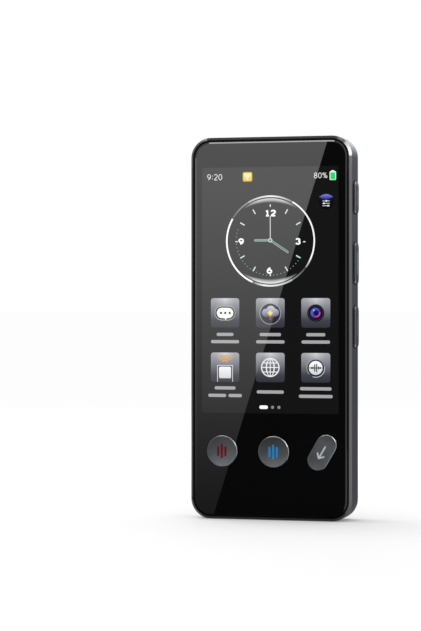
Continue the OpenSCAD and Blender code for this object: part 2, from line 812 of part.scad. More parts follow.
// A shallow hole with the pointed floor that a drill leaves.
module dimple(x, z) {
  translate([x, back_y, z]) rotate([-90, 0, 0]) rotate_extrude() polygon([
    [0, -dimple_depth], [dimple_d / 2, -dimple_wall], [dimple_d / 2, cut], [0, cut]
  ]);
}

module speaker_mesh() {
  color("#17181a") bar(0, speaker_z, mesh_w, mesh_h, mesh_back, cover_in);
}

module speaker_gasket() {
  color("#1d1d1f") difference() {
    bar(0, speaker_z, mesh_w, mesh_h, speaker_back, mesh_back);
    bar(0, speaker_z, sound_w, sound_h, speaker_back - cut, mesh_back + cut);
  }
}

// A shallow box whose mouth holds the cone.
module speaker_box() {
  color("#26272a") difference() {
    facing_back(speaker_back - speaker_t, speaker_z)
      linear_extrude(speaker_t) round_rect(speaker_w, speaker_h, speaker_r);
    bar(0, speaker_z, sound_w, sound_h, speaker_back - speaker_t + speaker_wall, speaker_back + cut);
  }
}

// A domed cone with its soft surround, in one piece.
module speaker_cone() {
  floor_y = speaker_back - speaker_t + speaker_wall;
  w = sound_w - 2 * cone_gap;
  h = sound_h - 2 * cone_gap;
  color("#2f3032") union() {
    bar(0, speaker_z, w, h, floor_y, floor_y + surround_t);
    facing_back(floor_y + surround_t, speaker_z)
      plate(w - 2 * surround_w, h - 2 * surround_w, surround_w, [[0, 0], [dome_h, dome_h]]);
  }
}

module camera_rim() {
  edge = [
    [0, 0], [0, camera_proud - camera_rim_round],
    [0.3 * camera_rim_round, camera_proud - 0.3 * camera_rim_round], [camera_rim_round, camera_proud]
  ];
  hole = [
    [camera_rim_bevel, -cut], [camera_rim_bevel, camera_proud - camera_rim_bevel],
    [0, camera_proud], [0, camera_proud + cut]
  ];
  mouth_w = camera_hole_w + 2 * camera_rim_bevel;
  color("#d4d6d9") difference() {
    facing_back(back_y, camera_z) plate(camera_w, camera_w, camera_r, edge);
    facing_back(back_y, camera_z) plate(mouth_w, mouth_w, camera_hole_r + camera_rim_bevel, hole);
  }
}

module camera_plate() {
  w = camera_hole_w - 2 * camera_fit;
  color("#1d4f8c") difference() {
    facing_back(cover_in, camera_z)
      linear_extrude(camera_plate_top - cover_in) round_rect(w, w, camera_hole_r - camera_fit);
    rod(0, camera_z, lens_ring_d + 2 * camera_fit, cover_in - cut, camera_plate_top + cut);
  }
}

module lens_ring() {
  hole = lens_d / 2 + camera_fit;
  color("#c6c8cb") facing_back(0, camera_z) rotate_extrude() polygon([
    [hole, cover_in], [lens_ring_d / 2, cover_in], [lens_ring_d / 2, lens_top],
    [hole + lens_ring_bevel, lens_top], [hole, lens_top - lens_ring_bevel]
  ]);
}

// A crowned disc of glass.
module camera_lens() {
  r = lens_d / 2;
  edge_y = lens_top - lens_sink;
  crown = [
    for (i = [0:curve_steps])
      let (s = 1 - i / curve_steps)
      [s * r, edge_y + lens_crown * (1 - s * s)]
  ];
  color("#101425") facing_back(0, camera_z) rotate_extrude()
    polygon(concat([[0, cover_in], [r, cover_in]], crown));
}

// The sensor block on the main board, with its barrel up to the lens.
module camera_module() {
  color("#141416") union() {
    bar(0, camera_z, module_w, module_w, board_back, board_back + module_t);
    rod(0, camera_z, barrel_d, board_back + module_t / 2, cover_in - barrel_gap);
  }
}

module camera_flex() {
  top = camera_z - module_w / 2;
  end = board_bottom + shield_foot;
  color("#a8641f") union() {
    bar(0, (top + end) / 2, camera_flex_w, top - end, board_back, board_back + link_t);
    bar(0, end, camera_flex_w + connector_h, connector_h, board_back, board_back + connector_t);
  }
}

// A moulded pocket behind the lanyard slot, hollowed as a half pipe that clears the post all round.
module lanyard_pocket() {
  color("#1a1b1d") difference() {
    bar(0, slot_z, slot_w + 2 * pocket_wall, slot_h + 2 * pocket_wall, pocket_floor, cover_in);
    translate([0, back_y, slot_z - slot_h / 2]) cylinder(h = slot_h, d = slot_w);
  }
}

module lanyard_post() {
  color("#8c8f93") translate([-post_off, post_y, slot_z - slot_h / 2]) cylinder(h = slot_h, d = post_d);
}

module main_board() {
  color("#14452f") difference() {
    bar(board_x, (board_top + board_bottom) / 2, board_right - board_left, main_board_h,
      board_front, board_back);
    for (spot = main_screw_spots) {
      rod(spot[0], spot[1], screw_d + 2 * screw_fit, board_front - cut, board_back + cut);
    }
  }
}

module processor() {
  color("#222326") bar(processor_x, (shield_top + shield_bottom) / 2, chip_w, chip_w,
    board_back, board_back + chip_t);
}

// A can of sheet metal, open towards the board.
module shield(x, w) {
  z = (shield_top + shield_bottom) / 2;
  h = shield_top - shield_bottom;
  color("#b4b7ba") difference() {
    bar(x, z, w, h, board_back, board_back + shield_h);
    bar(x, z, w - 2 * shield_wall, h - 2 * shield_wall, board_back - cut,
      board_back + shield_h - shield_wall);
  }
}

module processor_shield() {
  shield(processor_x, 2 * (processor_x - board_left - shield_gap));
}

module radio_shield() {
  shield(radio_x, 2 * (board_right - shield_gap - radio_x));
}

module board_screw(x, z, seat) {
  rod(x, z, screw_head_d, seat, seat + board_head_t);
  rod(x, z, screw_d, seat - board_screw_l, seat);
}

module board_screws() {
  color("#b8babd") {
    for (spot = main_screw_spots) {
      board_screw(spot[0], spot[1], board_back);
    }
    for (spot = lower_screw_spots) {
      board_screw(spot[0], spot[1], lower_back);
    }
  }
}

module lower_board() {
  color("#14452f") difference() {
    bar(0, (lower_top + lower_bottom) / 2, lower_board_w, lower_board_h, plate_back, lower_back);
    for (spot = lower_screw_spots) {
      rod(spot[0], spot[1], screw_d + 2 * screw_fit, plate_back - cut, lower_back + cut);
    }
  }
}

// The flexible circuit from the main board down to the lower one, with a connector at each end.
module board_link() {
  overlap = 2 * connector_h;
  run = [
    [board_back, board_bottom + overlap], [board_back, board_bottom - board_gap],
    [plate_back, board_bottom - overlap], [plate_back, lower_top + overlap / 2],
    [lower_back, lower_top + board_gap], [lower_back, lower_top - overlap]
  ];
  strip = concat(run, [for (i = [len(run) - 1:-1:0]) run[i] + [link_t, 0]]);
  middle = link_right - link_w / 2;
  color("#a8641f") union() {
    facing_right(board_left) linear_extrude(link_w) polygon(strip);
    bar(middle, board_bottom + 0.75 * overlap, link_w, connector_h, board_back, board_back + connector_t);
    bar(middle, lower_top - 0.75 * overlap, link_w, connector_h, lower_back, lower_back + connector_t);
  }
}

module microphone() {
  color("#c2a45a") bar(mic_x, mic_bottom + mic_l / 2, mic_w, mic_l, lower_back, lower_back + mic_t);
}

// A rubber boot that leads sound from the frame's hole to the microphone.
module mic_boot() {
  color("#1b1b1c") difference() {
    bar(mic_x, (mic_bottom + frame_wall) / 2, mic_w, mic_bottom - frame_wall,
      lower_back, lower_back + mic_t);
    translate([mic_x, mic_y, 0]) cylinder(h = mic_bottom + cut, d = 0.6 * mic_t);
  }
}

// The port's shell is a flat tube with a closed back end.
module port_shell() {
  color("#c0c3c6") translate([0, port_y, port_recess]) difference() {
    linear_extrude(port_l) round_rect(port_w, port_h, port_h / 2 - flat);
    translate([0, 0, -cut]) linear_extrude(port_l - port_wall + cut)
      round_rect(port_w - 2 * port_wall, port_h - 2 * port_wall, port_h / 2 - port_wall - flat);
  }
}

// The tongue stands on a block that fills the back end of the shell.
module port_tongue() {
  depth = port_l - port_wall;
  block_w = port_w - 2 * (port_wall + tongue_fit);
  block_h = port_h - 2 * (port_wall + tongue_fit);
  block_z = tongue_inset + tongue_l;
  color("#1c1c1e") translate([0, port_y, port_recess]) union() {
    translate([-tongue_w / 2, -tongue_t / 2, tongue_inset])
      cube([tongue_w, tongue_t, depth - tongue_inset]);
    translate([0, 0, block_z]) linear_extrude(depth - block_z)
      round_rect(block_w, block_h, block_h / 2 - flat);
  }
}

// A foil pouch with rounded long edges, below its terminal strip.
module battery() {
  edge = [
    [battery_round, 0], [0, battery_round], [0, battery_t - battery_round], [battery_round, battery_t]
  ];
  h = battery_h - terrace_h;
  color("#8d9095") facing_back(battery_front, battery_bottom + h / 2)
    translate([-battery_x, 0, 0]) plate(battery_w, h, battery_r, edge);
}

module battery_board() {
  color("#c9a227") bar(battery_x, battery_top - terrace_h / 2, battery_w - 2 * battery_r, terrace_h,
    battery_front, board_back);
}

module battery_lead() {
  bottom = battery_top - terrace_h;
  top = board_bottom + 2 * connector_h;
  color("#a8641f") union() {
    bar(lead_x, (top + bottom) / 2, lead_w, top - bottom, board_back, board_back + link_t);
    bar(lead_x, top - connector_h / 2, lead_w, connector_h, board_back, board_back + connector_t);
  }
}

module battery_tape() {
  color("#e2e2df") bar(battery_x, battery_bottom + battery_h / 2, battery_w - 2 * tape_margin,
    battery_h - 2 * tape_margin, plate_back, battery_front);
}

module antenna_flex() {
  color("#a8641f") translate([-cavity_x, plate_back + antenna_gap, board_bottom + antenna_end])
    cube([link_t, antenna_w, main_board_h - 2 * antenna_end]);
}

module key_board() {
  color("#14452f") bar(key_board_x, front_key_z, key_board_w, key_board_h, key_board_front, plate_front);
}

// One switch under each front key.
module front_switches() {
  color("#c8cacc") for (x = [left_talk_x, right_talk_x, back_key_x]) {
    union() {
      bar(x, front_key_z, switch_w, switch_w, key_board_front - switch_t, key_board_front);
      rod(x, front_key_z, plunger_d, front_switch_top, key_board_front - switch_t / 2);
    }
  }
}

// Sheet bent to an L: its foot lies on the middle plate, and its wall backs the side switches.
module side_bracket() {
  z = (bracket_top + bracket_bottom) / 2;
  h = bracket_top - bracket_bottom;
  color("#a5a8ab") union() {
    bar(bracket_x + bracket_t / 2, z, bracket_t, h, plate_back, bracket_back);
    bar(foot_x + bracket_foot / 2, z, bracket_foot, h, plate_back, plate_back + bracket_t);
  }
}

module side_flex() {
  color("#a8641f") bar(side_flex_x + side_flex_t / 2, (bracket_top + bracket_bottom) / 2,
    side_flex_t, bracket_top - bracket_bottom - 1, plate_back + bracket_t, bracket_back);
}

// One switch behind each side key.
module side_switches() {
  color("#c8cacc") for (z = [upper_key_z, middle_key_z, lower_key_z]) {
    facing_right(side_switch_x, side_key_y, z) union() {
      translate([-switch_w / 2, -switch_w / 2, 0]) cube([switch_w, switch_w, switch_t]);
      cylinder(h = switch_t + plunger_t, d = plunger_d);
    }
  }
}

// A round key: its hollow face, its collar behind the glass and the nub over its switch.
module talk_key(x) {
  r = talk_key_d / 2;
  top = front_key_stack + collar_gap;
  rim = r - front_key_bevel;
  face = [
    for (i = [0:curve_steps])
      let (reach = rim * (1 - i / curve_steps))
      [reach, top + hollow(reach, rim)]
  ];
  side = [
    [0, -front_collar_t], [r + front_collar_w, -front_collar_t], [r + front_collar_w, 0],
    [r, 0], [r, top - front_key_bevel]
  ];
  color("#4a4c50") union() {
    facing_front(front_collar_y, front_key_z) translate([x, 0, 0]) rotate_extrude()
      polygon(concat(side, face));
    front_nub(x);
  }
}

module front_nub(x) {
  rod(x, front_key_z, nub_d, front_collar_y + front_collar_t / 2, front_nub_tip);
}

module left_talk_key() {
  talk_key(left_talk_x);
}

module right_talk_key() {
  talk_key(right_talk_x);
}

// The leaning key, made as the round ones are.
module back_key() {
  top = front_key_stack + collar_gap;
  rim = back_key_w / 2 - front_key_bevel;
  edge = [[0, -front_collar_t], [0, top - front_key_bevel], [front_key_bevel, top]];
  face = [
    for (i = [1:curve_steps])
      let (reach = rim * i / curve_steps)
      [rim - reach, top + hollow(reach, rim)]
  ];
  color("#4a4c50") union() {
    difference() {
      at_back_key(front_collar_y) plate(back_key_w, back_key_l, back_key_w / 2, edge);
      at_back_key(front_collar_y)
        plate(2 * rim, back_key_l - 2 * front_key_bevel, rim, concat(face, [[0, top + cut]]));
    }
    at_back_key(front_collar_y + front_collar_t) linear_extrude(front_collar_t)
      pill(back_key_w + 2 * front_collar_w, back_key_l + 2 * front_collar_w);
    front_nub(back_key_x);
  }
}

// A side key: a rounded cap through the frame, a collar inside it and a nub over its switch.
module side_key(z, l, window_l) {
  top = side_x + side_key_proud - side_collar_x;
  face = side_face(l, top);
  last = len(face) - 1;
  end = face[last][0];
  outline = concat(
    face, [[end, -cut], [-end, -cut]], [for (i = [last:-1:0]) [-face[i][0], face[i][1]]]
  );
  edge = [
    [0, 0], [0, top - side_key_round], [0.3 * side_key_round, top - 0.3 * side_key_round],
    [side_key_round, top]
  ];
  color("#3c3e41") difference() {
    union() {
      facing_right(side_collar_x, side_key_y, z) intersection() {
        plate(side_key_w, l, side_key_r, edge);
        rotate([90, 0, 90]) linear_extrude(side_key_w + 2 * cut, center = true) polygon(outline);
      }
      facing_right(side_collar_x, side_key_y, z) linear_extrude(side_collar_t)
        round_rect(side_key_w, l + 2 * side_collar_l, side_key_r);
      facing_right(side_nub_x, side_key_y, z) cylinder(h = side_nub_l + side_collar_t / 2, d = nub_d);
    }
    facing_right(side_x + side_key_proud - window_t, side_key_y, z)
      linear_extrude(window_t + cut) pill(window_w, window_l);
  }
}

// The coloured insert that fills a side key's window.
module window(z, l, tint) {
  color(tint) facing_right(side_x + side_key_proud - window_t, side_key_y, z)
    linear_extrude(window_t - window_fit) pill(window_w - 2 * window_fit, l - 2 * window_fit);
}

module upper_side_key() {
  side_key(upper_key_z, upper_key_l, upper_window_l);
}

module upper_window() {
  window(upper_key_z, upper_window_l, "#8c2630");
}

module middle_side_key() {
  side_key(middle_key_z, middle_key_l, middle_window_l);
}

module middle_window() {
  window(middle_key_z, middle_window_l, "#2f78b4");
}

module lower_side_key() {
  side_key(lower_key_z, lower_key_l, lower_window_l);
}

module lower_window() {
  window(lower_key_z, lower_window_l, "#8c2630");
}

side_frame();
front_glass();
glass_gasket();
lcd_panel();
backlight();
display_foam();
mid_plate();
plate_screws();
back_cover();
speaker_mesh();
speaker_gasket();
speaker_box();
speaker_cone();
camera_rim();
camera_plate();
lens_ring();
camera_lens();
camera_module();
camera_flex();
lanyard_pocket();
lanyard_post();
main_board();
processor();
processor_shield();
radio_shield();
board_screws();
lower_board();
board_link();
microphone();
mic_boot();
port_shell();
port_tongue();
battery();
battery_board();
battery_lead();
battery_tape();
antenna_flex();
key_board();
front_switches();
side_bracket();
side_flex();
side_switches();
left_talk_key();
right_talk_key();
back_key();
upper_side_key();
upper_window();
middle_side_key();
middle_window();
lower_side_key();
lower_window();
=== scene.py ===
import math
from functools import partial
import bmesh
import bpy
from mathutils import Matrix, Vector


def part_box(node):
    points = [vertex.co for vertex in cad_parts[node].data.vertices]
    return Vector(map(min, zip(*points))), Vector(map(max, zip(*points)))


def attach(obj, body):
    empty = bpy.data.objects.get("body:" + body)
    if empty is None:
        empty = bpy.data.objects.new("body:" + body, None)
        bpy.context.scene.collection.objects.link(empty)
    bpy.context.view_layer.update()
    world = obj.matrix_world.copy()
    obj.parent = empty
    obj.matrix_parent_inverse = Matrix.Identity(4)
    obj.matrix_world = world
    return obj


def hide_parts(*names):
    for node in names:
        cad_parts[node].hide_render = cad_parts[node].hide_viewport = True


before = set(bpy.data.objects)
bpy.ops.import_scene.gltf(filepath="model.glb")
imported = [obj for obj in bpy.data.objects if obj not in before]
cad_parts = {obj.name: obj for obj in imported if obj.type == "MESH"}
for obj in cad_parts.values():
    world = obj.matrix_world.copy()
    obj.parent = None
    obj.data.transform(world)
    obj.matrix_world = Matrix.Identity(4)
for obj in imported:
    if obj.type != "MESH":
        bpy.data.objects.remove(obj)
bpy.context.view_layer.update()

# A handheld translator that stands on its bottom end.
# X runs to the keyed side, -Y is the glass front and Z is up. Sizes are in millimetres, times mm.
mm = 0.001
scene = bpy.context.scene
scene.view_settings.view_transform = "Standard"
print("frame loaded,", len(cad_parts), "nodes")


def linear(colour):
    # sRGB hex to the linear values that the sockets take
    parts = [int(colour[i:i + 2], 16) / 255 for i in (1, 3, 5)]
    return tuple(p / 12.92 if p <= 0.04045 else ((p + 0.055) / 1.055) ** 2.4 for p in parts) + (1,)


def addNode(tree, kind, inputs=None, **settings):
    # Adds a shader node, sets its options, and sets its inputs or links them. Among the inputs, a node
    # stands for its first output and a hex colour turns linear.
    node = tree.nodes.new("ShaderNode" + kind)
    for name, value in settings.items():
        setattr(node, name, value)
    for name, value in (inputs or {}).items():
        if isinstance(value, bpy.types.Node):
            value = value.outputs[0]
        if isinstance(value, bpy.types.NodeSocket):
            tree.links.new(value, node.inputs[name])
        else:
            node.inputs[name].default_value = linear(value) if isinstance(value, str) else value
    return node


def newMaterial(name):
    # A material, what adds nodes to it, and the place on the object that its patterns follow
    material = bpy.data.materials.new(name)
    material.use_nodes = True
    material.node_tree.nodes.clear()
    add = partial(addNode, material.node_tree)
    return material, add, add("TexCoord").outputs["Object"]


def newObject(name, mesh, material):
    mesh.materials.append(material)
    made = bpy.data.objects.new(name, mesh)
    scene.collection.objects.link(made)
    return made


# The camera stands level with the display, a little to the right of the device
view = {
    "place": (0.1706, -0.7506, 0.0770), "look": (-0.2507, 0.9681, 0),
    "lens": 121.95, "sensor": 36, "shift": -0.0173, "clip": 0.01,
}
cameraData = bpy.data.cameras.new("camera")
cameraData.sensor_fit = "VERTICAL"
cameraData.sensor_height = view["sensor"]
cameraData.lens = view["lens"]
cameraData.shift_y = view["shift"]
cameraData.clip_start = view["clip"]
camera = bpy.data.objects.new("camera", cameraData)
camera.location = view["place"]
camera.rotation_euler = Vector(view["look"]).to_track_quat("-Z", "Y").to_euler()
scene.collection.objects.link(camera)
scene.camera = camera
print("camera placed")


def grained(name, look):
    # An even finish: two tones that drift over some millimetres, and a grain that roughens and dents it.
    # grain holds the size of the drift, the size of the grain and its depth. A small share in pull draws the
    # grain out into lines along that axis.
    material, add, place = newMaterial(name)
    spread, size, depth = (length * mm for length in look["grain"])
    (dark, light), (smooth, rough) = look["tones"], look["rough"]
    drift = add("TexNoise", {"Vector": place, "Scale": 1 / spread})
    pulled = add("Mapping", {"Vector": place, "Scale": look.get("pull", (1, 1, 1))})
    grain = add("TexNoise", {"Vector": pulled, "Scale": 1 / size, "Detail": 3})
    tone = add("Mix", {0: drift, 6: dark, 7: light}, data_type="RGBA")
    sheen = add("MapRange", {"Value": grain, "From Min": 0.3, "From Max": 0.7, "To Min": smooth,
                             "To Max": rough})
    dents = add("Bump", {"Height": grain, "Distance": depth})
    shader = add("BsdfPrincipled", {"Base Color": tone.outputs[2], "Roughness": sheen, "Normal": dents,
                                    "Metallic": look.get("metal", 0), **look.get("set", {})})
    add("OutputMaterial", {"Surface": shader})
    return material


def bevelled(name, look):
    # The same finish with its bevels cut bright after anodising. axis is the one that the faces look along.
    material = grained(name, look)
    tree = material.node_tree
    add = partial(addNode, tree)
    shader = tree.nodes["Principled BSDF"]
    faceTone = shader.inputs["Base Color"].links[0].from_socket
    faceSheen = shader.inputs["Roughness"].links[0].from_socket
    normal = add("TexCoord").outputs["Normal"]
    along = add("SeparateXYZ", {0: normal}).outputs[look["axis"]]
    size = add("Math", {0: along}, operation="ABSOLUTE")
    bevel = add("Math", {0: size, 1: look["middle"], 2: look["spread"]}, operation="COMPARE")
    tone = add("Mix", {0: bevel, 6: faceTone, 7: look["cut"]}, data_type="RGBA")
    sheen = add("Mix", {0: bevel, 2: faceSheen, 3: look["cutRough"]})
    tree.links.new(tone.outputs[2], shader.inputs["Base Color"])
    tree.links.new(sheen.outputs[0], shader.inputs["Roughness"])
    return material


def give(finished, nodes):
    for name in nodes:
        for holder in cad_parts[name].material_slots:
            holder.material = finished
    return finished


def finish(name, nodes, look):
    # Makes an even finish and gives it to nodes of the frame
    return give(bevelled(name, look) if "cut" in look else grained(name, look), nodes)


# Finishes of the parts that show
# Anodised aluminium, milled and bead-blasted: a satin dark grey, with bevels cut bright afterwards
finish("anodisedAluminiumFrame", ["side_frame"], {
    "tones": ("#3c3d3f", "#444547"), "grain": (30, 0.15, 0.0015), "rough": (0.3, 0.4),
    "metal": 1, "set": {"Specular Tint": "#b0b2b5"},
    "axis": 1, "middle": 0.68, "spread": 0.2, "cut": "#656566", "cutRough": 0.15,
})
# Anodised aluminium sheet, bead-blasted: a lighter satin grey whose edges are cut bright
finish("anodisedAluminiumCover", ["back_cover"], {
    "tones": ("#686b6e", "#707376"), "grain": (40, 0.15, 0.0015), "rough": (0.34, 0.44),
    "metal": 1, "set": {"Specular Tint": "#b0b2b5"},
    "axis": 1, "middle": 0.68, "spread": 0.15, "cut": "#d8dadd", "cutRough": 0.2,
})
# Aluminium keys, finely blasted and anodised, with a thin edge cut bright
finish("anodisedAluminiumFrontKey", ["left_talk_key", "right_talk_key", "back_key"], {
    "tones": ("#62666a", "#6f7275"), "grain": (3, 0.12, 0.002), "rough": (0.36, 0.46),
    "metal": 1, "axis": 1, "middle": 0.68, "spread": 0.2, "cut": "#a8aaad", "cutRough": 0.28,
})
# Aluminium side keys, anodised nearly black, with edges polished by tumbling
finish("anodisedAluminiumSideKey", ["upper_side_key", "middle_side_key", "lower_side_key"], {
    "tones": ("#3a3c40", "#444649"), "grain": (6, 0.12, 0.0015), "rough": (0.26, 0.36),
    "metal": 1, "set": {"Specular Tint": "#b0b2b5"},
    "axis": 0, "middle": 0.6, "spread": 0.31, "cut": "#96989c", "cutRough": 0.16,
})
# Stainless steel, polished: a near mirror with faint drawing lines
finish("polishedStainlessSteel", ["camera_rim", "lens_ring"], {
    "tones": ("#cfd1d4", "#dcdee1"), "grain": (4, 0.1, 0.0004), "rough": (0.06, 0.12), "metal": 1,
})
# Stainless steel wire, drawn: satin with lines along it
finish("drawnSteelPost", ["lanyard_post"], {
    "tones": ("#84878b", "#9a9da1"), "grain": (2, 0.08, 0.001), "rough": (0.22, 0.34),
    "metal": 1, "pull": (1, 1, 0.1),
})
# Silicone rubber, moulded: black and dull
finish("siliconeRubber", ["glass_gasket", "mic_boot"], {
    "tones": ("#050506", "#080809"), "grain": (5, 0.3, 0.002), "rough": (0.6, 0.72),
    "set": {"Specular IOR Level": 0.06},
})
# ABS, moulded with a fine spark texture: black with a soft sheen
finish("mouldedAbs", ["lanyard_pocket", "speaker_box", "camera_module"], {
    "tones": ("#161719", "#1c1d1f"), "grain": (8, 0.2, 0.004), "rough": (0.42, 0.56), "set": {"IOR": 1.53},
})
# Acrylic resin, cast and tinted: glossy and deep
finish("castAcrylicRed", ["upper_window", "lower_window"], {
    "tones": ("#540f15", "#64151b"), "grain": (2, 0.5, 0.001), "rough": (0.24, 0.32),
    "set": {"Specular IOR Level": 0.02},
})
finish("castAcrylicBlue", ["middle_window"], {
    "tones": ("#165d8e", "#1f70a6"), "grain": (2, 0.5, 0.001), "rough": (0.24, 0.32),
    "set": {"Specular IOR Level": 0.02},
})
# Stainless steel, deep drawn: a bright satin tube
finish("deepDrawnSteelShell", ["port_shell"], {
    "tones": ("#b9bcbf", "#c8cbce"), "grain": (3, 0.1, 0.0008), "rough": (0.2, 0.3),
    "metal": 1, "pull": (1, 1, 0.15),
})
# Liquid-crystal polymer, moulded: black, slightly glossy
finish("mouldedPolymerTongue", ["port_tongue"], {
    "tones": ("#18181a", "#1f1f21"), "grain": (2, 0.15, 0.001), "rough": (0.3, 0.4),
})

# Finishes of the parts inside
# Display cell, laminated glass: near black and glossy
finish("laminatedCellGlass", ["lcd_panel", "camera_lens"], {
    "tones": ("#0c0f12", "#12161a"), "grain": (20, 2, 0.0005), "rough": (0.06, 0.1), "set": {"IOR": 1.52},
})
# Steel sheet, tinned and pressed: bright, with a soft mottle
finish("tinnedSteelSheet", ["backlight", "processor_shield", "radio_shield", "front_switches",
                            "side_switches"], {
    "tones": ("#aeb1b4", "#c6c9cc"), "grain": (3, 0.6, 0.001), "rough": (0.24, 0.38), "metal": 1,
})
# Polyurethane foam, cast with closed cells: black and pitted
finish("closedCellFoam", ["display_foam", "speaker_gasket"], {
    "tones": ("#151517", "#232325"), "grain": (1.5, 0.25, 0.05), "rough": (0.85, 0.98),
})
# Aluminium sheet, stamped: rolling lines along its height
finish("stampedAluminiumSheet", ["mid_plate"], {
    "tones": ("#8f9296", "#a2a5a9"), "grain": (12, 0.3, 0.002), "rough": (0.3, 0.44),
    "metal": 1, "pull": (1, 1, 0.06),
})
# Steel, cold headed and nickel plated: smooth and slightly warm
finish("nickelPlatedSteel", ["plate_screws", "board_screws"], {
    "tones": ("#aeb0b1", "#c1c2c0"), "grain": (1, 0.2, 0.001), "rough": (0.16, 0.26), "metal": 1,
})
# Polyester film, formed, with a rubber surround: dark with a soft sheen
finish("formedPolyesterFilm", ["speaker_cone"], {
    "tones": ("#2a2b2d", "#343537"), "grain": (3, 0.4, 0.003), "rough": (0.34, 0.46),
})
# Polyimide film with copper inside: amber, glossy
finish("polyimideFilm", ["camera_flex", "board_link", "battery_lead", "antenna_flex", "side_flex"], {
    "tones": ("#9a5a1a", "#b56f26"), "grain": (1.5, 0.3, 0.002), "rough": (0.22, 0.34), "set": {"IOR": 1.7},
})
# Glass-fibre board under green solder mask: the copper tracks show as a mottle
finish("solderMaskedBoard", ["main_board", "lower_board", "key_board"], {
    "tones": ("#0f3a27", "#1b5a3d"), "grain": (0.8, 0.5, 0.02), "rough": (0.28, 0.4), "set": {"IOR": 1.52},
})
# Epoxy, transfer moulded: charcoal and matt
finish("mouldedEpoxyPackage", ["processor"], {
    "tones": ("#1f2022", "#292a2c"), "grain": (2, 0.15, 0.003), "rough": (0.5, 0.62),
})
# Brass, pressed and gold plated: warm and bright
goldBrass = finish("goldPlatedBrass", ["microphone"], {
    "tones": ("#c09a4e", "#d4b062"), "grain": (1, 0.2, 0.0008), "rough": (0.14, 0.24), "metal": 1,
})
# Aluminium and polymer laminate, vacuum sealed: silver with soft creases
finish("laminatedFoilPouch", ["battery"], {
    "tones": ("#83868b", "#989ba0"), "grain": (6, 3, 0.06), "rough": (0.26, 0.36), "metal": 1,
})
# Polyimide tape, wrapped: yellow and glossy
finish("polyimideTape", ["battery_board"], {
    "tones": ("#c39a20", "#d2ab35"), "grain": (2, 0.4, 0.003), "rough": (0.26, 0.36),
})
# Polyester tape, double sided: white with fine fibres
finish("doubleSidedTape", ["battery_tape"], {
    "tones": ("#dddddb", "#e8e8e5"), "grain": (4, 0.3, 0.006), "rough": (0.6, 0.72), "pull": (1, 1, 0.2),
})
# Steel spring sheet, bent: satin with rolling lines
finish("bentSteelSheet", ["side_bracket"], {
    "tones": ("#9b9ea1", "#adb0b3"), "grain": (4, 0.2, 0.0015), "rough": (0.26, 0.36),
    "metal": 1, "pull": (1, 1, 0.08),
})
print("even finishes made")


def coverGlass():
    # Aluminosilicate glass, polished and screen printed black behind: a deep black mirror
    material, add, place = newMaterial("printedCoverGlass")
    drift = add("TexNoise", {"Vector": place, "Scale": 1 / (25 * mm)})
    tone = add("Mix", {0: drift, 6: "#0a0a0b", 7: "#0e0e0f"}, data_type="RGBA")
    sheen = add("MapRange", {"Value": drift, "To Min": 0, "To Max": 0.006})
    shader = add("BsdfPrincipled", {"Base Color": tone.outputs[2], "Roughness": sheen, "IOR": 1.51})
    add("OutputMaterial", {"Surface": shader})
    return material


def wovenMesh():
    # Steel wire cloth, woven and blackened: a dark, fine check.
    # The threads are 0.1 mm apart, drawn at 0.25 mm so that they show.
    spacing = 0.25 * mm
    material, add, place = newMaterial("wovenWireMesh")
    turn = add("VectorMath", {0: place, 1: (2 * math.pi / spacing,) * 3}, operation="MULTIPLY")
    axes = add("SeparateXYZ", {0: turn})
    warp = add("Math", {0: axes.outputs["X"]}, operation="SINE")
    weft = add("Math", {0: axes.outputs["Z"]}, operation="SINE")
    cloth = add("Math", {0: warp, 1: weft}, operation="MULTIPLY")
    tone = add("Mix", {0: cloth, 6: "#0a0a0b", 7: "#26272a"}, data_type="RGBA")
    dents = add("Bump", {"Height": cloth, "Distance": 0.03 * mm})
    shader = add("BsdfPrincipled", {"Base Color": tone.outputs[2], "Roughness": 0.5, "Metallic": 0.6,
                                    "Normal": dents})
    add("OutputMaterial", {"Surface": shader})
    return material


def spunAluminium(centreZ):
    # Aluminium, spun and anodised blue: fine rings round the lens, with painted highlights in the base
    # colour:
    # broad bright wedges above and below it and narrow ones beside it. The rings are 0.05 mm apart, drawn at
    # 0.2 mm so that they show.
    spacing = 0.2 * mm
    material, add, place = newMaterial("spunBlueAluminium")
    fromLens = add("VectorMath", {0: place, 1: (0, 0, centreZ)}, operation="SUBTRACT")
    flat = add("VectorMath", {0: fromLens, 1: (1, 0, 1)}, operation="MULTIPLY")
    radius = add("VectorMath", {0: flat}, operation="LENGTH").outputs["Value"]
    turn = add("Math", {0: radius, 1: 2 * math.pi / spacing}, operation="MULTIPLY")
    rings = add("Math", {0: turn}, operation="SINE")
    axes = add("SeparateXYZ", {0: flat}).outputs
    angle = add("Math", {0: axes["X"], 1: axes["Z"]}, operation="ARCTAN2")
    twofold = add("Math", {0: angle, 1: 2}, operation="MULTIPLY")
    upright = add("Math", {0: twofold}, operation="COSINE")
    # Painted highlight: wedges of lighter blue in the base colour, where the spun rings would mirror the
    # light
    broadPaintedHighlight = add("MapRange", {"Value": upright, "From Min": 0.36, "From Max": 0.7},
                interpolation_type="SMOOTHSTEP")
    narrowPaintedHighlight = add("MapRange", {"Value": upright, "From Min": -0.8, "From Max": -1, "To Max": 0.7},
                 interpolation_type="SMOOTHSTEP")
    bright = add("Math", {0: broadPaintedHighlight, 1: narrowPaintedHighlight}, operation="MAXIMUM")
    tone = add("Mix", {0: bright, 6: "#080e18", 7: "#325580"}, data_type="RGBA")
    dents = add("Bump", {"Height": rings, "Distance": 0.002 * mm})
    tangent = add("Tangent", direction_type="RADIAL", axis="Y")
    shader = add("BsdfPrincipled", {"Base Color": tone.outputs[2], "Roughness": 0.24, "Metallic": 1,
                                    "Anisotropic": 0.7, "Normal": dents, "Tangent": tangent})
    add("OutputMaterial", {"Surface": shader})
    return material


give(coverGlass(), ["front_glass"])
give(wovenMesh(), ["speaker_mesh"])
lensMiddle = (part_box("lens_ring")[0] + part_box("lens_ring")[1]) / 2
give(spunAluminium(lensMiddle.z), ["camera_plate"])
print("finishes given to the nodes")


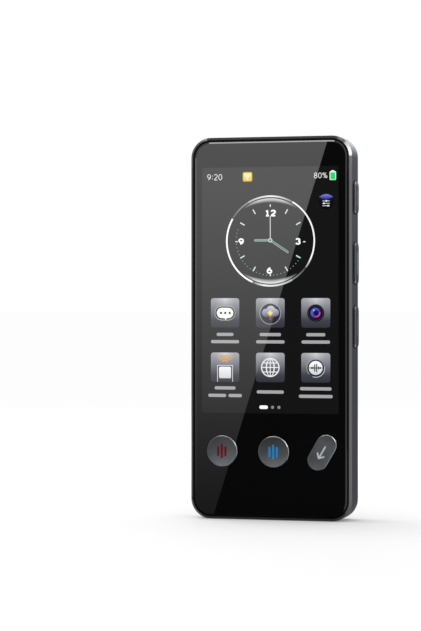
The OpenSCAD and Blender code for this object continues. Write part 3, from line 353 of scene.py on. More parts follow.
# Outlines of thin flat pieces, as points (x, z). Angles run clockwise from twelve o'clock.
def bow(x, z, wide, high, start, end, steps=14):
    # Part of an ellipse
    turns = [math.radians(start + (end - start) * i / steps) for i in range(steps + 1)]
    return [(x + wide * math.sin(a), z + high * math.cos(a)) for a in turns]


def arc(x, z, radius, start, end, steps=24):
    return bow(x, z, radius, radius, start, end, steps)


def circle(x, z, radius, steps=40):
    return arc(x, z, radius, 0, 360 - 360 / steps, steps - 1)


def hoop(x, z, outer, inner, start, end, steps):
    # Part of a flat ring
    return arc(x, z, outer, start, end, steps) + arc(x, z, inner, end, start, steps)


def block(x, z, width, height, radius=0, steps=6):
    # A rectangle, with round corners if it has a radius
    w, h = width / 2 - radius, height / 2 - radius
    if not radius:
        return [(x + w, z + h), (x + w, z - h), (x - w, z - h), (x - w, z + h)]
    corners = [(w, h, 0), (w, -h, 90), (-w, -h, 180), (-w, h, 270)]
    return [p for across, up, a in corners for p in arc(x + across, z + up, radius, a, a + 90, steps)]


def bar(start, end, width, round=True):
    # A straight stroke from one point to another
    (x0, z0), (x1, z1) = start, end
    if round:
        heading = math.degrees(math.atan2(x1 - x0, z1 - z0))
        ends = (x1, z1, heading), (x0, z0, heading + 180)
        return [p for x, z, a in ends for p in arc(x, z, width / 2, a - 90, a + 90, 6)]
    side = Vector((x1 - x0, z1 - z0)).orthogonal().normalized() * width / 2
    return [(x0 + side.x, z0 + side.y), (x1 + side.x, z1 + side.y),
            (x1 - side.x, z1 - side.y), (x0 - side.x, z0 - side.y)]


def turned(points, degrees):
    # Leans an outline clockwise about its middle
    c, s = math.cos(math.radians(degrees)), math.sin(math.radians(degrees))
    return [(x * c + z * s, z * c - x * s) for x, z in points]


# The lines of each figure, in a box that is one wide and one high
six = [bow(0, -0.19, 0.44, 0.31, -90, 270, 20), bow(0.5, -0.15, 0.94, 0.65, -90, -18)]
figureLines = {
    "0": [bow(0, 0, 0.45, 0.5, 0, 360, 24)],
    "1": [[(-0.28, 0.3), (0.02, 0.5), (0.02, 0.499), (0.02, -0.5)], [(-0.3, -0.5), (0.34, -0.5)]],
    "2": [bow(0, 0.22, 0.42, 0.28, -75, 120) + [(-0.42, -0.48), (-0.419, -0.5), (0.46, -0.5)]],
    "3": [bow(-0.02, 0.25, 0.38, 0.25, -70, 175), bow(-0.02, -0.24, 0.44, 0.26, 5, 250)],
    "6": six,
    "8": [bow(0, 0.26, 0.36, 0.24, 0, 360, 20), bow(0, -0.24, 0.44, 0.26, 0, 360, 20)],
    "9": [[(-x, -z) for x, z in line] for line in six],
    ":": [[(0, 0.14), (0, 0.3)], [(0, -0.34), (0, -0.18)]],
    "%": [bow(-0.3, 0.28, 0.17, 0.2, 0, 360, 16), bow(0.3, -0.28, 0.17, 0.2, 0, 360, 16),
          [(-0.22, -0.5), (0.22, 0.5)]],
}
figureWidths = {":": 0.2, "%": 0.8}  # shares of the height, for the signs that aren't numerals
figureGap = 0.18


def mix(first, second, share):
    share = min(max(share, 0), 1)
    return tuple(a + (b - a) * share for a, b in zip(first, second))


def blend(first, second, shareAt):
    # A paint that runs from one colour to another by a share that depends on the place
    one, two = linear(first), linear(second)
    return lambda x, z: mix(one, two, shareAt(x, z))


def fade(top, bottom, highest, lowest):
    # A paint that runs from one colour to another down the height
    return blend(top, bottom, lambda x, z: (highest - z) / (highest - lowest))


def newPiece(name, shape, material):
    # An object made of a bmesh
    bmesh.ops.recalc_face_normals(shape, faces=shape.faces)
    mesh = bpy.data.meshes.new(name)
    shape.to_mesh(mesh)
    shape.free()
    return newObject(name, mesh, material)


class Layers:
    # Thin shapes that lie on each other about a middle, all facing the front. A shape's level is its place
    # in the pile. A hollow gives how far the face under them falls back at a point.
    def __init__(self, back, step, middleX=0, middleZ=0, hollow=lambda x, z: 0):
        self.mesh = bmesh.new()
        self.glow = self.mesh.loops.layers.float_color.new("glow")
        self.back, self.step, self.hollow = back, step, hollow
        self.middleX, self.middleZ = middleX, middleZ

    def corner(self, level, x, z):
        y = self.back - level * self.step + self.hollow(x, z)
        return self.mesh.verts.new(((self.middleX + x) * mm, y * mm, (self.middleZ + z) * mm))

    def close(self, faces, paint):
        # Paints the faces, by place if the paint is a function, and gives them a back
        for face in faces:
            for corner in face.loops:
                x, z = corner.vert.co.x / mm - self.middleX, corner.vert.co.z / mm - self.middleZ
                corner[self.glow] = paint(x, z) if callable(paint) else linear(paint)
        grown = bmesh.ops.extrude_face_region(self.mesh, geom=faces)["geom"]
        behind = [g for g in grown if isinstance(g, bmesh.types.BMVert)]
        bmesh.ops.translate(self.mesh, verts=behind, vec=(0, 0.8 * self.step * mm, 0))

    def outline(self, level, paint, *loops):
        # The first loop is the edge and the others are holes in it
        edges = []
        for loop in loops:
            points = [self.corner(level, x, z) for x, z in loop]
            edges += [self.mesh.edges.new(pair) for pair in zip(points, points[1:] + points[:1])]
        filled = bmesh.ops.triangle_fill(self.mesh, edges=edges, use_beauty=True)["geom"]
        self.close([g for g in filled if isinstance(g, bmesh.types.BMFace)], paint)

    def rows(self, level, paint, rows, closed=False, capped=False):
        # Faces between rows of points, for shapes whose colour changes across them
        points = [[self.corner(level, x, z) for x, z in row] for row in rows]
        faces = []
        for upper, lower in zip(points, points[1:]):
            for i in range(len(upper) if closed else len(upper) - 1):
                j = (i + 1) % len(upper)
                faces.append(self.mesh.faces.new((upper[i], upper[j], lower[j], lower[i])))
        if capped:
            faces.append(self.mesh.faces.new(points[-1]))
        self.close(faces, paint)

    def disc(self, level, paint, x, z, radius, steps=40):
        rings = [circle(x, z, radius * share, steps) for share in (1, 0.8, 0.6, 0.4, 0.2)]
        self.rows(level, paint, rings, closed=True, capped=True)

    def tile(self, level, paint, x, z, width, height, radius):
        # A rounded rectangle in rows, so that its paint can change in both directions
        turns = [math.radians(t) for t in (0, 30, 60, 90)]
        ends = [(height / 2 - radius + radius * math.cos(a), width / 2 - radius + radius * math.sin(a))
                for a in turns]
        halves = ends + [(height * share, width / 2) for share in (0.25, 0, -0.25)]
        halves += [(-up, half) for up, half in reversed(ends)]
        shares = (-1, -0.66, -0.33, 0, 0.33, 0.66, 1)
        self.rows(level, paint, [[(x + half * share, z + up) for share in shares] for up, half in halves])

    def stroke(self, level, paint, line, width):
        # A ribbon of even width along a line of points
        sides = [[], []]
        for i, (x, z) in enumerate(line):
            before, after = line[max(i - 1, 0)], line[min(i + 1, len(line) - 1)]
            along = Vector((after[0] - before[0], after[1] - before[1])).normalized() * width / 2
            sides[0].append((x - along.y, z + along.x))
            sides[1].append((x + along.y, z - along.x))
        self.rows(level, paint, sides)

    def figures(self, level, paint, text, x, z, height, width, spread=0.58):
        # Plain figures, centred on (x, z)
        spans = [height * figureWidths.get(sign, spread) for sign in text]
        gap = height * figureGap
        left = x - (sum(spans) + gap * (len(text) - 1)) / 2
        for sign, span in zip(text, spans):
            for rank, line in enumerate(figureLines[sign]):
                placed = [(left + span / 2 + px * span, z + pz * (height - width)) for px, pz in line]
                self.stroke(level + rank, paint, placed, width)
            left += span + gap

    def piece(self, name, material, body="body", slot="lcd_glass"):
        bmesh.ops.remove_doubles(self.mesh, verts=self.mesh.verts, dist=0.0005 * mm)
        made = newPiece(name, self.mesh, material)
        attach(made, body)


def litPicture():
    # Liquid crystal bonded to the glass: light of the picture's own colour through rows of pixels, behind a
    # polished face. The rows are 0.07 mm apart, drawn at 0.14 mm, and even so too fine to see from here.
    spacing = 0.14 * mm
    material, add, place = newMaterial("backlitLiquidCrystal")
    turn = add("VectorMath", {0: place, 1: (2 * math.pi / spacing,) * 3}, operation="MULTIPLY")
    axes = add("SeparateXYZ", {0: turn})
    across = add("Math", {0: axes.outputs["X"]}, operation="SINE")
    level = add("MapRange", {"Value": across, "From Min": -1, "To Min": 0.97, "To Max": 1.07})
    glow = add("Attribute", attribute_name="glow").outputs["Color"]
    colour = add("VectorMath", {0: glow, "Scale": level}, operation="SCALE")
    shader = add("BsdfPrincipled", {"Base Color": "#000000", "Roughness": 0, "IOR": 1.58,
                                    "Emission Color": colour, "Emission Strength": 1})
    add("OutputMaterial", {"Surface": shader})
    return material


picture = litPicture()

# The picture lies on the glass in sheets that are a few micrometres thick
display = {
    "left": -25.16, "right": 24.74, "bottom": 38.16, "top": 126.13, "corner": 0.6,
    "plane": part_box("front_glass")[0].y / mm, "step": 0.006, "upper": "#161617", "lower": "#151515",
}
wide, high = display["right"] - display["left"], display["top"] - display["bottom"]
field = Layers(display["plane"], display["step"], display["left"] + wide / 2, display["bottom"] + high / 2)
shade = fade(display["upper"], display["lower"], high / 2, -high / 2)
field.tile(1, shade, 0, 0, wide, high, display["corner"])
field.piece("displayField", picture)
print("display field made")

outline, rows, disc, tile, stroke, figures = (
    Layers.outline, Layers.rows, Layers.disc, Layers.tile, Layers.stroke, Layers.figures)


def drawPicture(name, layers, x=0, z=0):
    # A piece of the picture about (x, z). A layer is a way to draw, a level, a paint and the sizes.
    sheet = Layers(display["plane"] - display["step"], display["step"], x, z)
    for draw, *settings in layers:
        draw(sheet, *settings)
    sheet.piece(name, picture)


# The clock face. The marks and hands turn about a point a little above the ring's middle.
dial = {
    "x": 0, "z": 99.7, "radius": 16.3, "raised": 0.25, "hours": (10.9, 12.7), "dots": 12.5,
    "sliverRadius": 15.25, "sliverBulge": 0.8, "sliverEnds": 3.5, "dark": "#141415",
    "figures": (("12", 0, 9.95), ("3", 10.1, -0.2), ("6", -0.3, -10.5), ("9", -10.7, -0.15)),
    "ticks": (((0, 12.35), (0, 12.9)), ((12.1, -0.35), (12.65, -0.35)),
              ((0, -11.85), (0, -12.4)), ((-12.1, -0.15), (-12.65, -0.15))),
}


def ringArc(start, end, first, last, outer, inner):
    # Part of the ring, with the colours at its ends and how far its edges lie within the radius
    def shareAt(x, z):
        angle = math.degrees(math.atan2(x, z)) % 360
        while angle < start - 1:
            angle += 360
        return (angle - start) / (end - start)
    steps = max(4, int((end - start) / 5))
    edges = [arc(0, 0, dial["radius"] - inset, start, end, steps) for inset in (outer, inner)]
    return rows, 1, blend(first, last, shareAt), edges


def sliver(start, end, depth, bright, steps=20):
    # A glossy crescent inside the ring, bright at the ring and gone at its inner edge
    def reach(share):
        return depth * max(math.sin(math.pi * share), 0) ** dial["sliverBulge"]

    def shareAt(x, z):
        along = (math.degrees(math.atan2(x, z)) - start) % 360 / (end - start)
        if not 0 < along < 1:
            return 0
        across = (dial["sliverRadius"] - math.hypot(x, z)) / max(reach(along), 0.001)
        return (1 - min(max(across, 0), 1)) * min(1, dial["sliverEnds"] * min(along, 1 - along))
    depths = [reach(i / steps) for i in range(steps + 1)]
    radii = [[dial["sliverRadius"] - part * deep for deep in depths] for part in (0, 0.5, 1)]
    turns = arc(0, 0, 1, start, end, steps)
    lines = [[(x * radius, z * radius) for (x, z), radius in zip(turns, line)] for line in radii]
    return rows, 1, blend(dial["dark"], bright, shareAt), lines


def onDial(degrees, reach):
    turn = math.radians(degrees)
    return reach * math.sin(turn), dial["raised"] + reach * math.cos(turn)


def hand(level, degrees, length, width, colour):
    return outline, level, colour, bar(onDial(0, 0), onDial(degrees, length), width)


drawPicture("clockFace", [
    *[ringArc(*part) for part in (
        (30, 112, "#f4f4f4", "#ffffff", 0, 0.55), (112, 126, "#ffffff", "#8c8c8e", 0, 0.55),
        (126, 150, "#4e4e50", "#9a9a9c", 0.1, 0.55), (150, 188, "#b8b8ba", "#f0f0f0", 0, 0.65),
        (188, 204, "#f0f0f0", "#626264", 0, 0.65), (204, 300, "#ffffff", "#ffffff", 0, 0.6),
        (300, 330, "#5a5a5c", "#949496", 0.05, 0.55), (330, 362, "#b0b0b2", "#f2f2f2", 0, 0.6),
        (362, 389, "#f2f2f2", "#8e8e90", 0, 0.6),
    )],
    *[sliver(*part) for part in ((-42, 42, 1.5, "#d6d6d6"), (138, 222, 1.7, "#e6ebe9"))],
    *[(outline, 1, "#cfe6df", bar(*[onDial(hour * 30, reach) for reach in dial["hours"]], 0.42, False))
      for hour in (1, 2, 4, 5, 7, 8, 10, 11)],
    *[(outline, 1, "#98a09d", circle(*onDial(minute * 6, dial["dots"]), 0.18, 8))
      for minute in range(21, 49) if minute % 5],
    *[(figures, 2, "#fdfdf8", text, x, z, 2.4, 0.58, 0.7) for text, x, z in dial["figures"]],
    *[(outline, 1, "#f2f2ee", bar(start, end, 0.36)) for start, end in dial["ticks"]],
    hand(4, 270, 5.5, 0.8, "#9fb8b1"),
    hand(5, 270, 5.5, 0.44, "#6c8882"),
    hand(6, 123.6, 7.6, 0.76, "#a3bdb6"),
    hand(7, 123.6, 7.6, 0.4, "#4c5f5b"),
    hand(9, 0, 8.6, 0.27, "#dededa"),
    (outline, 10, "#b5cec7", circle(*onDial(0, 0), 0.78, 24)),
    (outline, 11, "#4a5f5a", circle(*onDial(0, 0), 0.38, 24)),
], dial["x"], dial["z"])
print("clock face made")

# The status bar, the menu button and the marks that count the pages
status = {
    "line": 122.7, "time": -20.5, "badge": -8.37, "charge": 18.3, "battery": 22.72, "menu": (20.3, 113.3),
    "sliders": ((0.45, 0.1), (-0.4, -0.8), (-1.25, 0.7)),  # height, and where the knob stands
    "pages": 40.35,
}
line, badge, battery, pages = (status[name] for name in ("line", "badge", "battery", "pages"))
menuX, menuZ = status["menu"]
dome = [(menuX + 5 * i / 12, math.cos(math.pi * i / 12)) for i in range(-6, 7)]
drawPicture("statusBar", [
    (figures, 1, "#e8e8e8", "9:20", status["time"], line + 0.05, 2.2, 0.23),
    (figures, 1, "#ececec", "80%", status["charge"], line + 0.15, 2.05, 0.22),
    # A yellow badge that sends out two waves
    (outline, 1, "#a98a2c", block(badge, line + 0.02, 3.6, 3.5, 0.6)),
    (tile, 2, fade("#f6e277", "#e3c040", line + 1.6, line - 1.5), badge, line + 0.02, 3.1, 3, 0.45),
    *[(outline, 3, "#fff3e2", hoop(badge, line - 0.8, reach + 0.17, reach - 0.17, -42, 42, 8))
      for reach in (1.5, 0.95)],
    (outline, 3, "#fff3e2", circle(badge, line - 0.7, 0.3, 12)),
    # The battery and its charge
    (outline, 1, "#e9fff3", block(battery, line, 2.3, 3.1, 0.35)),
    (outline, 1, "#e9fff3", block(battery, line + 1.7, 1, 0.4, 0.1)),
    (outline, 2, "#22dc74", block(battery, line - 0.1, 1.75, 2.55, 0.15)),
    # The menu button: a halo, a dome of light and three sliders
    (disc, 1, blend("#1b1a48", "#0d0d10", lambda x, z: math.hypot(x - menuX, z - menuZ - 1.3) / 2.6),
     menuX, menuZ, 2.6, 28),
    (rows, 2, fade("#8583d8", "#1a178c", menuZ + 2.9, menuZ + 1.2),
     [[(x, menuZ + 2 + reach * bulge) for x, bulge in dome] for reach in (0.88, 0.3, -0.4, -1.15)]),
    *[(outline, 3, "#dcdcd6", bar((menuX - 1.25, menuZ + up), (menuX + 1.25, menuZ + up), 0.2))
      for up, knob in status["sliders"]],
    *[(outline, 4, "#f2f2ec", circle(menuX + knob, menuZ + up, 0.32, 12)) for up, knob in status["sliders"]],
    (outline, 1, "#ffffff", block(-2.43, pages, 3.1, 1.25, 0.6)),
    *[(outline, 1, "#8c8c8e", circle(x, pages, 0.56, 20)) for x in (0.83, 3.16)],
])
print("status bar made")

# Six icons in two rows, each drawn about the middle of its tile
puff = fade("#cbc8dc", "#62647a", 2.4, -1.5)
icons = {
    # Three dots in a speech bubble
    "speechIcon": [
        (outline, 2, "#c3d2b4", block(0, -0.1, 7.6, 5.2, 2.55)),
        (outline, 3, "#2f3a37", block(0, -0.1, 7.3, 4.8, 2.35)),
        (outline, 4, "#f7f8f6", block(0, -0.05, 6.1, 3.75, 1.85)),
        (outline, 4, "#f7f8f6", [(-0.2, -1.7), (0.9, -1.7), (0.1, -2.7)]),
        *[(outline, 5, "#0c1212", circle(x, -0.05, 0.42, 16)) for x in (-1.5, 0.1, 1.7)],
    ],
    # A cloud in a ring, with an arrow up to it
    "cloudIcon": [
        (outline, 2, "#a6a6b0", circle(0, -0.2, 3.95), circle(0, -0.2, 3.75)),
        (disc, 2, fade("#3c3f44", "#23242c", 3.3, -3.9), 0, -0.2, 3.5),
        (disc, 3, puff, 0.2, 0.95, 1.6, 28),
        (disc, 4, puff, -1.6, 0, 1.45, 28),
        (disc, 5, puff, 1.75, 0.1, 1.4, 28),
        (tile, 6, puff, 0, -0.6, 4, 1.5, 0.6),
        (outline, 7, "#f2e05c", [(0, 1), (1.1, -0.3), (0.45, -0.3), (0.45, -0.9), (-0.45, -0.9),
                                 (-0.45, -0.3), (-1.1, -0.3)]),
        *[(outline, 7, colour, block(0, z, 0.8, 0.34, 0.1))
          for z, colour in ((-1.25, "#d9603a"), (-1.8, "#c84a3c"), (-2.35, "#b03a36"))],
    ],
    # A camera lens
    "lensIcon": [
        (outline, 2, "#15141b", circle(0, -0.05, 3.1)),
        (outline, 3, "#3a3444", circle(0, -0.05, 2.75), circle(0, -0.05, 2.55)),
        (disc, 4, blend("#4a63cf", "#4f1f6e", lambda x, z: (x - z + 2) / 3.6), -0.05, 0, 1.85),
        (disc, 5, fade("#1a2166", "#0f1238", 1, -0.8), 0.1, 0.05, 0.95, 24),
        (stroke, 6, blend("#5f2276", "#c94fae", lambda x, z: (x + 1.4) / 2.8),
         bow(0, 0, 1.45, 1.4, 80, 200, 14), 0.5),
        (outline, 6, "#dfe6ff", circle(-0.7, 0.9, 0.24, 12)),
    ],
    # A device that sends out three waves
    "groupIcon": [
        *[(stroke, 2, "#dc9e58", bow(0, z, wide, high, -78, 78), 0.46)
          for z, wide, high in ((3, 2.8, 1), (2.4, 1.9, 0.8), (1.85, 1, 0.55))],
        (outline, 2, "#e8e8ea", [(-2.9, -5.2), (-2.9, 0.75), (2.9, 0.75), (2.9, -5.2), (2.7, -5.2),
                                 (2.7, 0.55), (-2.7, 0.55), (-2.7, -5.2)]),
        (outline, 3, "#3a3b42", block(0, -1.9, 5, 4.7, 0.6)),
        (tile, 4, fade("#f4f4f6", "#d4d4da", 0.2, -4), 0, -1.9, 4.45, 4.15, 0.5),
    ],
    # A globe with one meridian and three parallels
    "globeIcon": [
        (outline, 2, "#f0f0f2", circle(0, 0, 3.4), circle(0, 0, 2.98)),
        (outline, 3, "#f0f0f2", bow(0, 0, 1.65, 3.1, 0, 350, 35), bow(0, 0, 1.2, 2.95, 0, 350, 35)),
        (outline, 4, "#f0f0f2", block(0, 0, 0.32, 6.2)),
        *[(outline, 5, "#f0f0f2", block(0, z, wide, 0.32))
          for z, wide in ((1.6, 5.4), (0, 6.2), (-1.6, 5.4))],
    ],
    # The beats of a voice in a ring
    "voiceIcon": [
        (outline, 2, "#8ab8b1", hoop(0, 0, 3.35, 3.17, 225, 335, 20)),
        (outline, 2, "#d3d9de", hoop(0, -0.1, 3.35, 3.15, 80, 200, 20)),
        (outline, 3, "#1d2126", circle(0, -0.05, 2.95)),
        (disc, 4, fade("#ffffff", "#c9d2d6", 1.8, -2.6), 0, -0.05, 2.5),
        (outline, 5, "#54484c", block(0, -0.05, 4.9, 0.3)),
        *[(outline, 6, "#1d1418", block(x, -0.05, 0.4, tall, 0.1))
          for x, tall in ((-1.6, 0.7), (-1, 1), (-0.35, 2.6), (0.35, 2.9), (1.05, 1.1), (1.6, 0.7))],
    ],
}
grid = {
    "columns": (-16.65, 0, 16.55), "rows": (74.05, 54.55), "size": 10.5, "corner": 0.9,
    "tones": ("#a3a3ab", "#6a6b74", "#40424c", "#33353d"),
    "shine": "#d2d3d8", "shineHalf": 4, "shineFall": 3.2,
}
top, middle, low, bottom, shine = (linear(tone) for tone in (*grid["tones"], grid["shine"]))


def tilePaint(x, z):
    # The four tones follow each other at the top, the middle, three quarters down and the foot
    down = 0.5 - z / grid["size"]
    if down < 0.5:
        colour = mix(top, middle, down * 2)
    else:
        colour = mix(middle, low, down * 4 - 2) if down < 0.75 else mix(low, bottom, down * 4 - 3)
    return mix(colour, shine, max(0, 1 - abs(x) / grid["shineHalf"]) * max(0, 1 - down * grid["shineFall"]))


ground = (tile, 1, tilePaint, 0, 0, grid["size"], grid["size"], grid["corner"])
places = [(x, z) for z in grid["rows"] for x in grid["columns"]]
for (name, layers), place in zip(icons.items(), places):
    drawPicture(name, [ground, *layers], *place)

# Plain strips for the words below the icons: where the middle of each is, and its width
words = {
    "high": 1.15, "corner": 0.5, "colour": "#a6a6aa",
    "strips": (
        (-16.65, 66.3, 6.2), (-16.65, 63.7, 10.4), (0, 66.3, 7.8), (0, 63.7, 10.4), (16.55, 66.3, 6.9),
        (16.55, 63.7, 10.3), (-16.65, 47.1, 7.7), (-19.55, 44.4, 6.6), (-12.9, 44.4, 4.9), (0, 45.8, 9.9),
        (16.55, 47.1, 11.4), (16.55, 44.4, 12.2),
    ),
}
drawPicture("wordStrips", [(outline, 1, words["colour"], block(x, z, wide, words["high"], words["corner"]))
                           for x, z, wide in words["strips"]])
print("icons and word strips made")


def keyPaint(name, dark, light):
    # Polyurethane paint filled into the key's engraved sign: glossy, with slight pooling
    return grained(name, {
        "tones": (dark, light), "grain": (1.2, 0.3, 0.002), "rough": (0.22, 0.34),
        "set": {"Specular IOR Level": 0.12},
    })


# Signs on the front keys, whose faces are hollow: three bars on each round key, an arrow on the leaning one
signs = {
    "face": -7, "step": 0.025, "hollowRadius": 40, "roundRim": 5.45, "leaningRim": 3.5,
    "bars": ((-1.48, 3.5), (-0.15, 5.1), (1.18, 3.5)),  # place and height
    "width": 0.8, "corner": 0.15,
    "stem": ((0, 2.4), (0, -2.2), 0.6), "lean": 30,
    "head": [(-1.65, -0.95), (-1.27, -0.5), (0, -1.8), (1.27, -0.5), (1.65, -0.95), (0, -2.65)],
}
talkKeys = {
    "left_talk_key": {"x": -17.7, "z": 24.4, "slot": "red_resin", "sign": "leftTalkSign",
                      "paint": keyPaint("filledPaintRed", "#620b10", "#730d13")},
    "right_talk_key": {"x": 1.2, "z": 24.4, "slot": "blue_resin", "sign": "rightTalkSign",
                       "paint": keyPaint("filledPaintBlue", "#1b82c0", "#2390d0")},
}
backKey = {"x": 18.8, "z": 24.4, "slot": "adhesive_tape", "sign": "backKeyArrow",
           "paint": keyPaint("filledPaintWhite", "#b9babb", "#d4d5d6")}


def newSign(key, rim):
    # A fresh pile of paint that follows the hollow in a key's face
    return Layers(signs["face"], signs["step"], key["x"], key["z"],
                  lambda x, z: (rim ** 2 - x ** 2 - z ** 2) / (2 * signs["hollowRadius"]))


for name, key in talkKeys.items():
    sign = newSign(key, signs["roundRim"])
    for x, tall in signs["bars"]:
        sign.tile(1, "#000000", x, 0, signs["width"], tall, signs["corner"])
    sign.piece(key["sign"], key["paint"], name, key["slot"])
arrow = newSign(backKey, signs["leaningRim"])
arrow.outline(1, "#000000", turned(bar(*signs["stem"]), signs["lean"]))
arrow.outline(2, "#000000", turned(signs["head"], signs["lean"]))
arrow.piece(backKey["sign"], backKey["paint"], "back_key", backKey["slot"])
print("key signs made")


# The lens behind its ring: a stepped baffle, a coated element deep in it and a clear window over both
def turnedPart(name, material, profile, replaced=None):
    # Turns a profile of (radius, y) about the lens's axis
    shape = bmesh.new()
    steps = 64
    loops = []
    for radius, y in profile:
        turns = [2 * math.pi * i / steps for i in range(steps if radius else 1)]
        loops.append([shape.verts.new((lensMiddle.x + radius * mm * math.cos(a), y * mm,
                                       lensMiddle.z + radius * mm * math.sin(a))) for a in turns])
    for one, two in zip(loops, loops[1:]):
        for i in range(steps):
            j = (i + 1) % steps
            corners = [one[i % len(one)], one[j % len(one)], two[j % len(two)], two[i % len(two)]]
            shape.faces.new(list(dict.fromkeys(corners)))
    made = newPiece(name, shape, material)
    for face in made.data.polygons:
        face.use_smooth = True
    made.data.set_sharp_from_angle(angle=math.radians(32))
    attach(made, "body")
    if replaced:
        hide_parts(replaced)


def baffleBlack():
    # Aluminium, turned in steps and blackened: matt black with fine turning rings
    return grained("blackenedAluminium", {
        "tones": ("#040404", "#08080a"), "grain": (1, 0.08, 0.004), "rough": (0.5, 0.65),
        "set": {"Specular IOR Level": 0.25},
    })


def coatedLens():
    # Optical glass, ground and vacuum coated: dark, with a painted reflection of the coating, violet and
    # blue in the base colour
    material, add, place = newMaterial("coatedOpticalGlass")
    facing = add("LayerWeight", {"Blend": 0.35}).outputs["Facing"]
    drift = add("TexNoise", {"Vector": place, "Scale": 1 / (1.2 * mm)})
    # Painted reflection: more violet where the surface turns away from the view, mottled by the drift
    paintedCoatingReflection = add("Math", {0: facing, 1: drift}, operation="MULTIPLY")
    tone = add("Mix", {0: paintedCoatingReflection, 6: "#080a26", 7: "#30206a"}, data_type="RGBA")
    shader = add("BsdfPrincipled", {"Base Color": tone.outputs[2], "Roughness": 0.05, "IOR": 1.6,
                                    "Specular IOR Level": 0.12, "Specular Tint": "#8f8cff"})
    add("OutputMaterial", {"Surface": shader})
    return material


def clearWindow():
    # Optical glass, polished and coated against glare: clear, with hardly a reflection
    material, add, place = newMaterial("clearLensWindow")
    smear = add("TexNoise", {"Vector": place, "Scale": 1 / (3 * mm)})
    sheen = add("MapRange", {"Value": smear, "To Min": 0, "To Max": 0.02})
    shader = add("BsdfPrincipled", {"Base Color": "#05050c", "Roughness": sheen,
                                    "IOR": 1.52, "Alpha": 0.12})
    add("OutputMaterial", {"Surface": shader})
    return material


lens = {"outer": 2.28, "floor": 5.62, "lip": 6.72, "window": 6.76, "crown": 6.95}
turnedPart("lensBaffle", baffleBlack(), [
    (0, lens["floor"]), (lens["outer"], lens["floor"]), (lens["outer"], lens["lip"]), (1.95, lens["lip"]),
    (1.9, 6.45), (1.55, 6.4), (1.5, 6.12), (1.2, 6.08), (1.15, 5.85), (0, 5.85),
], "camera_lens")
turnedPart("lensElement", coatedLens(), [
    (0, 5.87), (1.1, 5.87), (1.1, 5.92), (0.8, 6.05), (0.45, 6.13), (0, 6.16),
])
turnedPart("lensWindow", clearWindow(), [
    (0, lens["window"]), (lens["outer"], lens["window"]), (lens["outer"], lens["window"] + 0.06),
    (1.7, lens["window"] + 0.13), (0.9, lens["crown"] - 0.02), (0, lens["crown"]),
])
print("lens made")

# Contacts of the charging port, on both faces of the tongue. Each face has its distance from the tongue's
# middle and its level.
port = {
    "y": (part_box("port_tongue")[0].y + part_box("port_tongue")[1].y) / 2 / mm, "count": 12, "low": 1.15,
    "high": 4.6, "pitch": 0.5, "width": 0.25, "corner": 0.1, "step": 0.02,
    "faces": {"portContactsFront": (-0.342, 1), "portContactsBack": (0.362, 0)},
}
for name, (distance, level) in port["faces"].items():
    contacts = Layers(port["y"] + distance, port["step"], 0, (port["low"] + port["high"]) / 2)
    for i in range(port["count"]):
        x = (i - (port["count"] - 1) / 2) * port["pitch"]
        contacts.outline(level, "#000000", block(x, 0, port["width"], port["high"] - port["low"],
                                                 port["corner"], 3))
    contacts.piece(name, goldBrass, "body", "mic_metal")
print("port contacts made")

# The floor: pale, and the camera also sees it lit from within, so that it goes white and keeps a soft shadow
studio = {"floorColour": "#ededed", "lift": 0.15, "ambient": 0.75, "backdrop": 1.0, "half": 20000}


def seenDirectly(add):
    # 1 for camera, glossy and transmitted rays, 0 for the light that falls on things
    path = add("LightPath").outputs
    both = add("Math", {0: path["Is Camera Ray"], 1: path["Is Glossy Ray"]}, operation="MAXIMUM")
    return add("Math", {0: both, 1: path["Is Transmission Ray"]}, operation="MAXIMUM")


def paleFloor():
    # Paper, unrolled as a sweep: pale and matt
    material, add, place = newMaterial("paperSweep")
    fibre = add("TexNoise", {"Vector": place, "Scale": 1 / (2 * mm)})
    dents = add("Bump", {"Height": fibre, "Distance": 0.01 * mm})
    matt = add("BsdfDiffuse", {"Color": studio["floorColour"], "Normal": dents})
    strength = add("Math", {0: seenDirectly(add), 1: studio["lift"]}, operation="MULTIPLY")
    lift = add("Emission", {"Color": (1, 1, 1, 1), "Strength": strength})
    both = add("AddShader", {0: matt, 1: lift})
    add("OutputMaterial", {"Surface": both})
    return material


def stageSheet(name, material, points, faces=((0, 1, 2, 3),)):
    # A sheet that belongs to the stage and not to the device
    mesh = bpy.data.meshes.new(name)
    mesh.from_pydata([tuple(c * mm for c in p) for p in points], [], faces)
    sheet = newObject(name, mesh, material)
    return sheet


half = studio["half"]
stageSheet("floor", paleFloor(), [(-half, -half, 0), (half, -half, 0), (half, half, 0), (-half, half, 0)])

world = bpy.data.worlds.new("studio")
scene.world = world
world.use_nodes = True
world.node_tree.nodes.clear()
add = partial(addNode, world.node_tree)
level = add("MapRange", {"Value": seenDirectly(add), "To Min": studio["ambient"],
                         "To Max": studio["backdrop"]})
sky = add("Background", {"Color": (1, 1, 1, 1), "Strength": level})
add("OutputWorld", {"Surface": sky})

# Cards on a ramp that rises from the foot of the glass. Only mirrored light sees them: the glass shows a lit
# one left of a slanting edge and a black one right of it. Their corners are given by where it mirrors them.
ramp = {
    "foot": (-5.7, 0.02), "far": -500, "left": -33, "edge": -230, "right": 28.3, "low": 0.5, "high": 137,
    "rows": 12, "dim": 0.17, "gain": 1.8, "bend": 0.65, "edgeGain": 1.7, "black": 0.001,
}
slant = {"top": (20.6, 134.6), "low": (-20.9, 1.35)}
eye = Vector(view["place"]) / mm
behind = 2 * display["plane"] - eye.y
depth = behind - display["plane"]
farHeight = eye.z + (ramp["high"] - eye.z) * (behind - ramp["far"]) / depth
slope = (farHeight - ramp["foot"][1]) / (ramp["foot"][0] - ramp["far"])


def mirrored(x, z):
    # Where the ray from the camera to the glass at (x, z) meets the ramp
    footY, footZ = ramp["foot"]
    turn = (eye.z - footZ + slope * (behind - footY)) / (slope * depth + eye.z - z)
    return (eye.x + turn * (x - eye.x), behind - turn * depth, eye.z + turn * (z - eye.z))


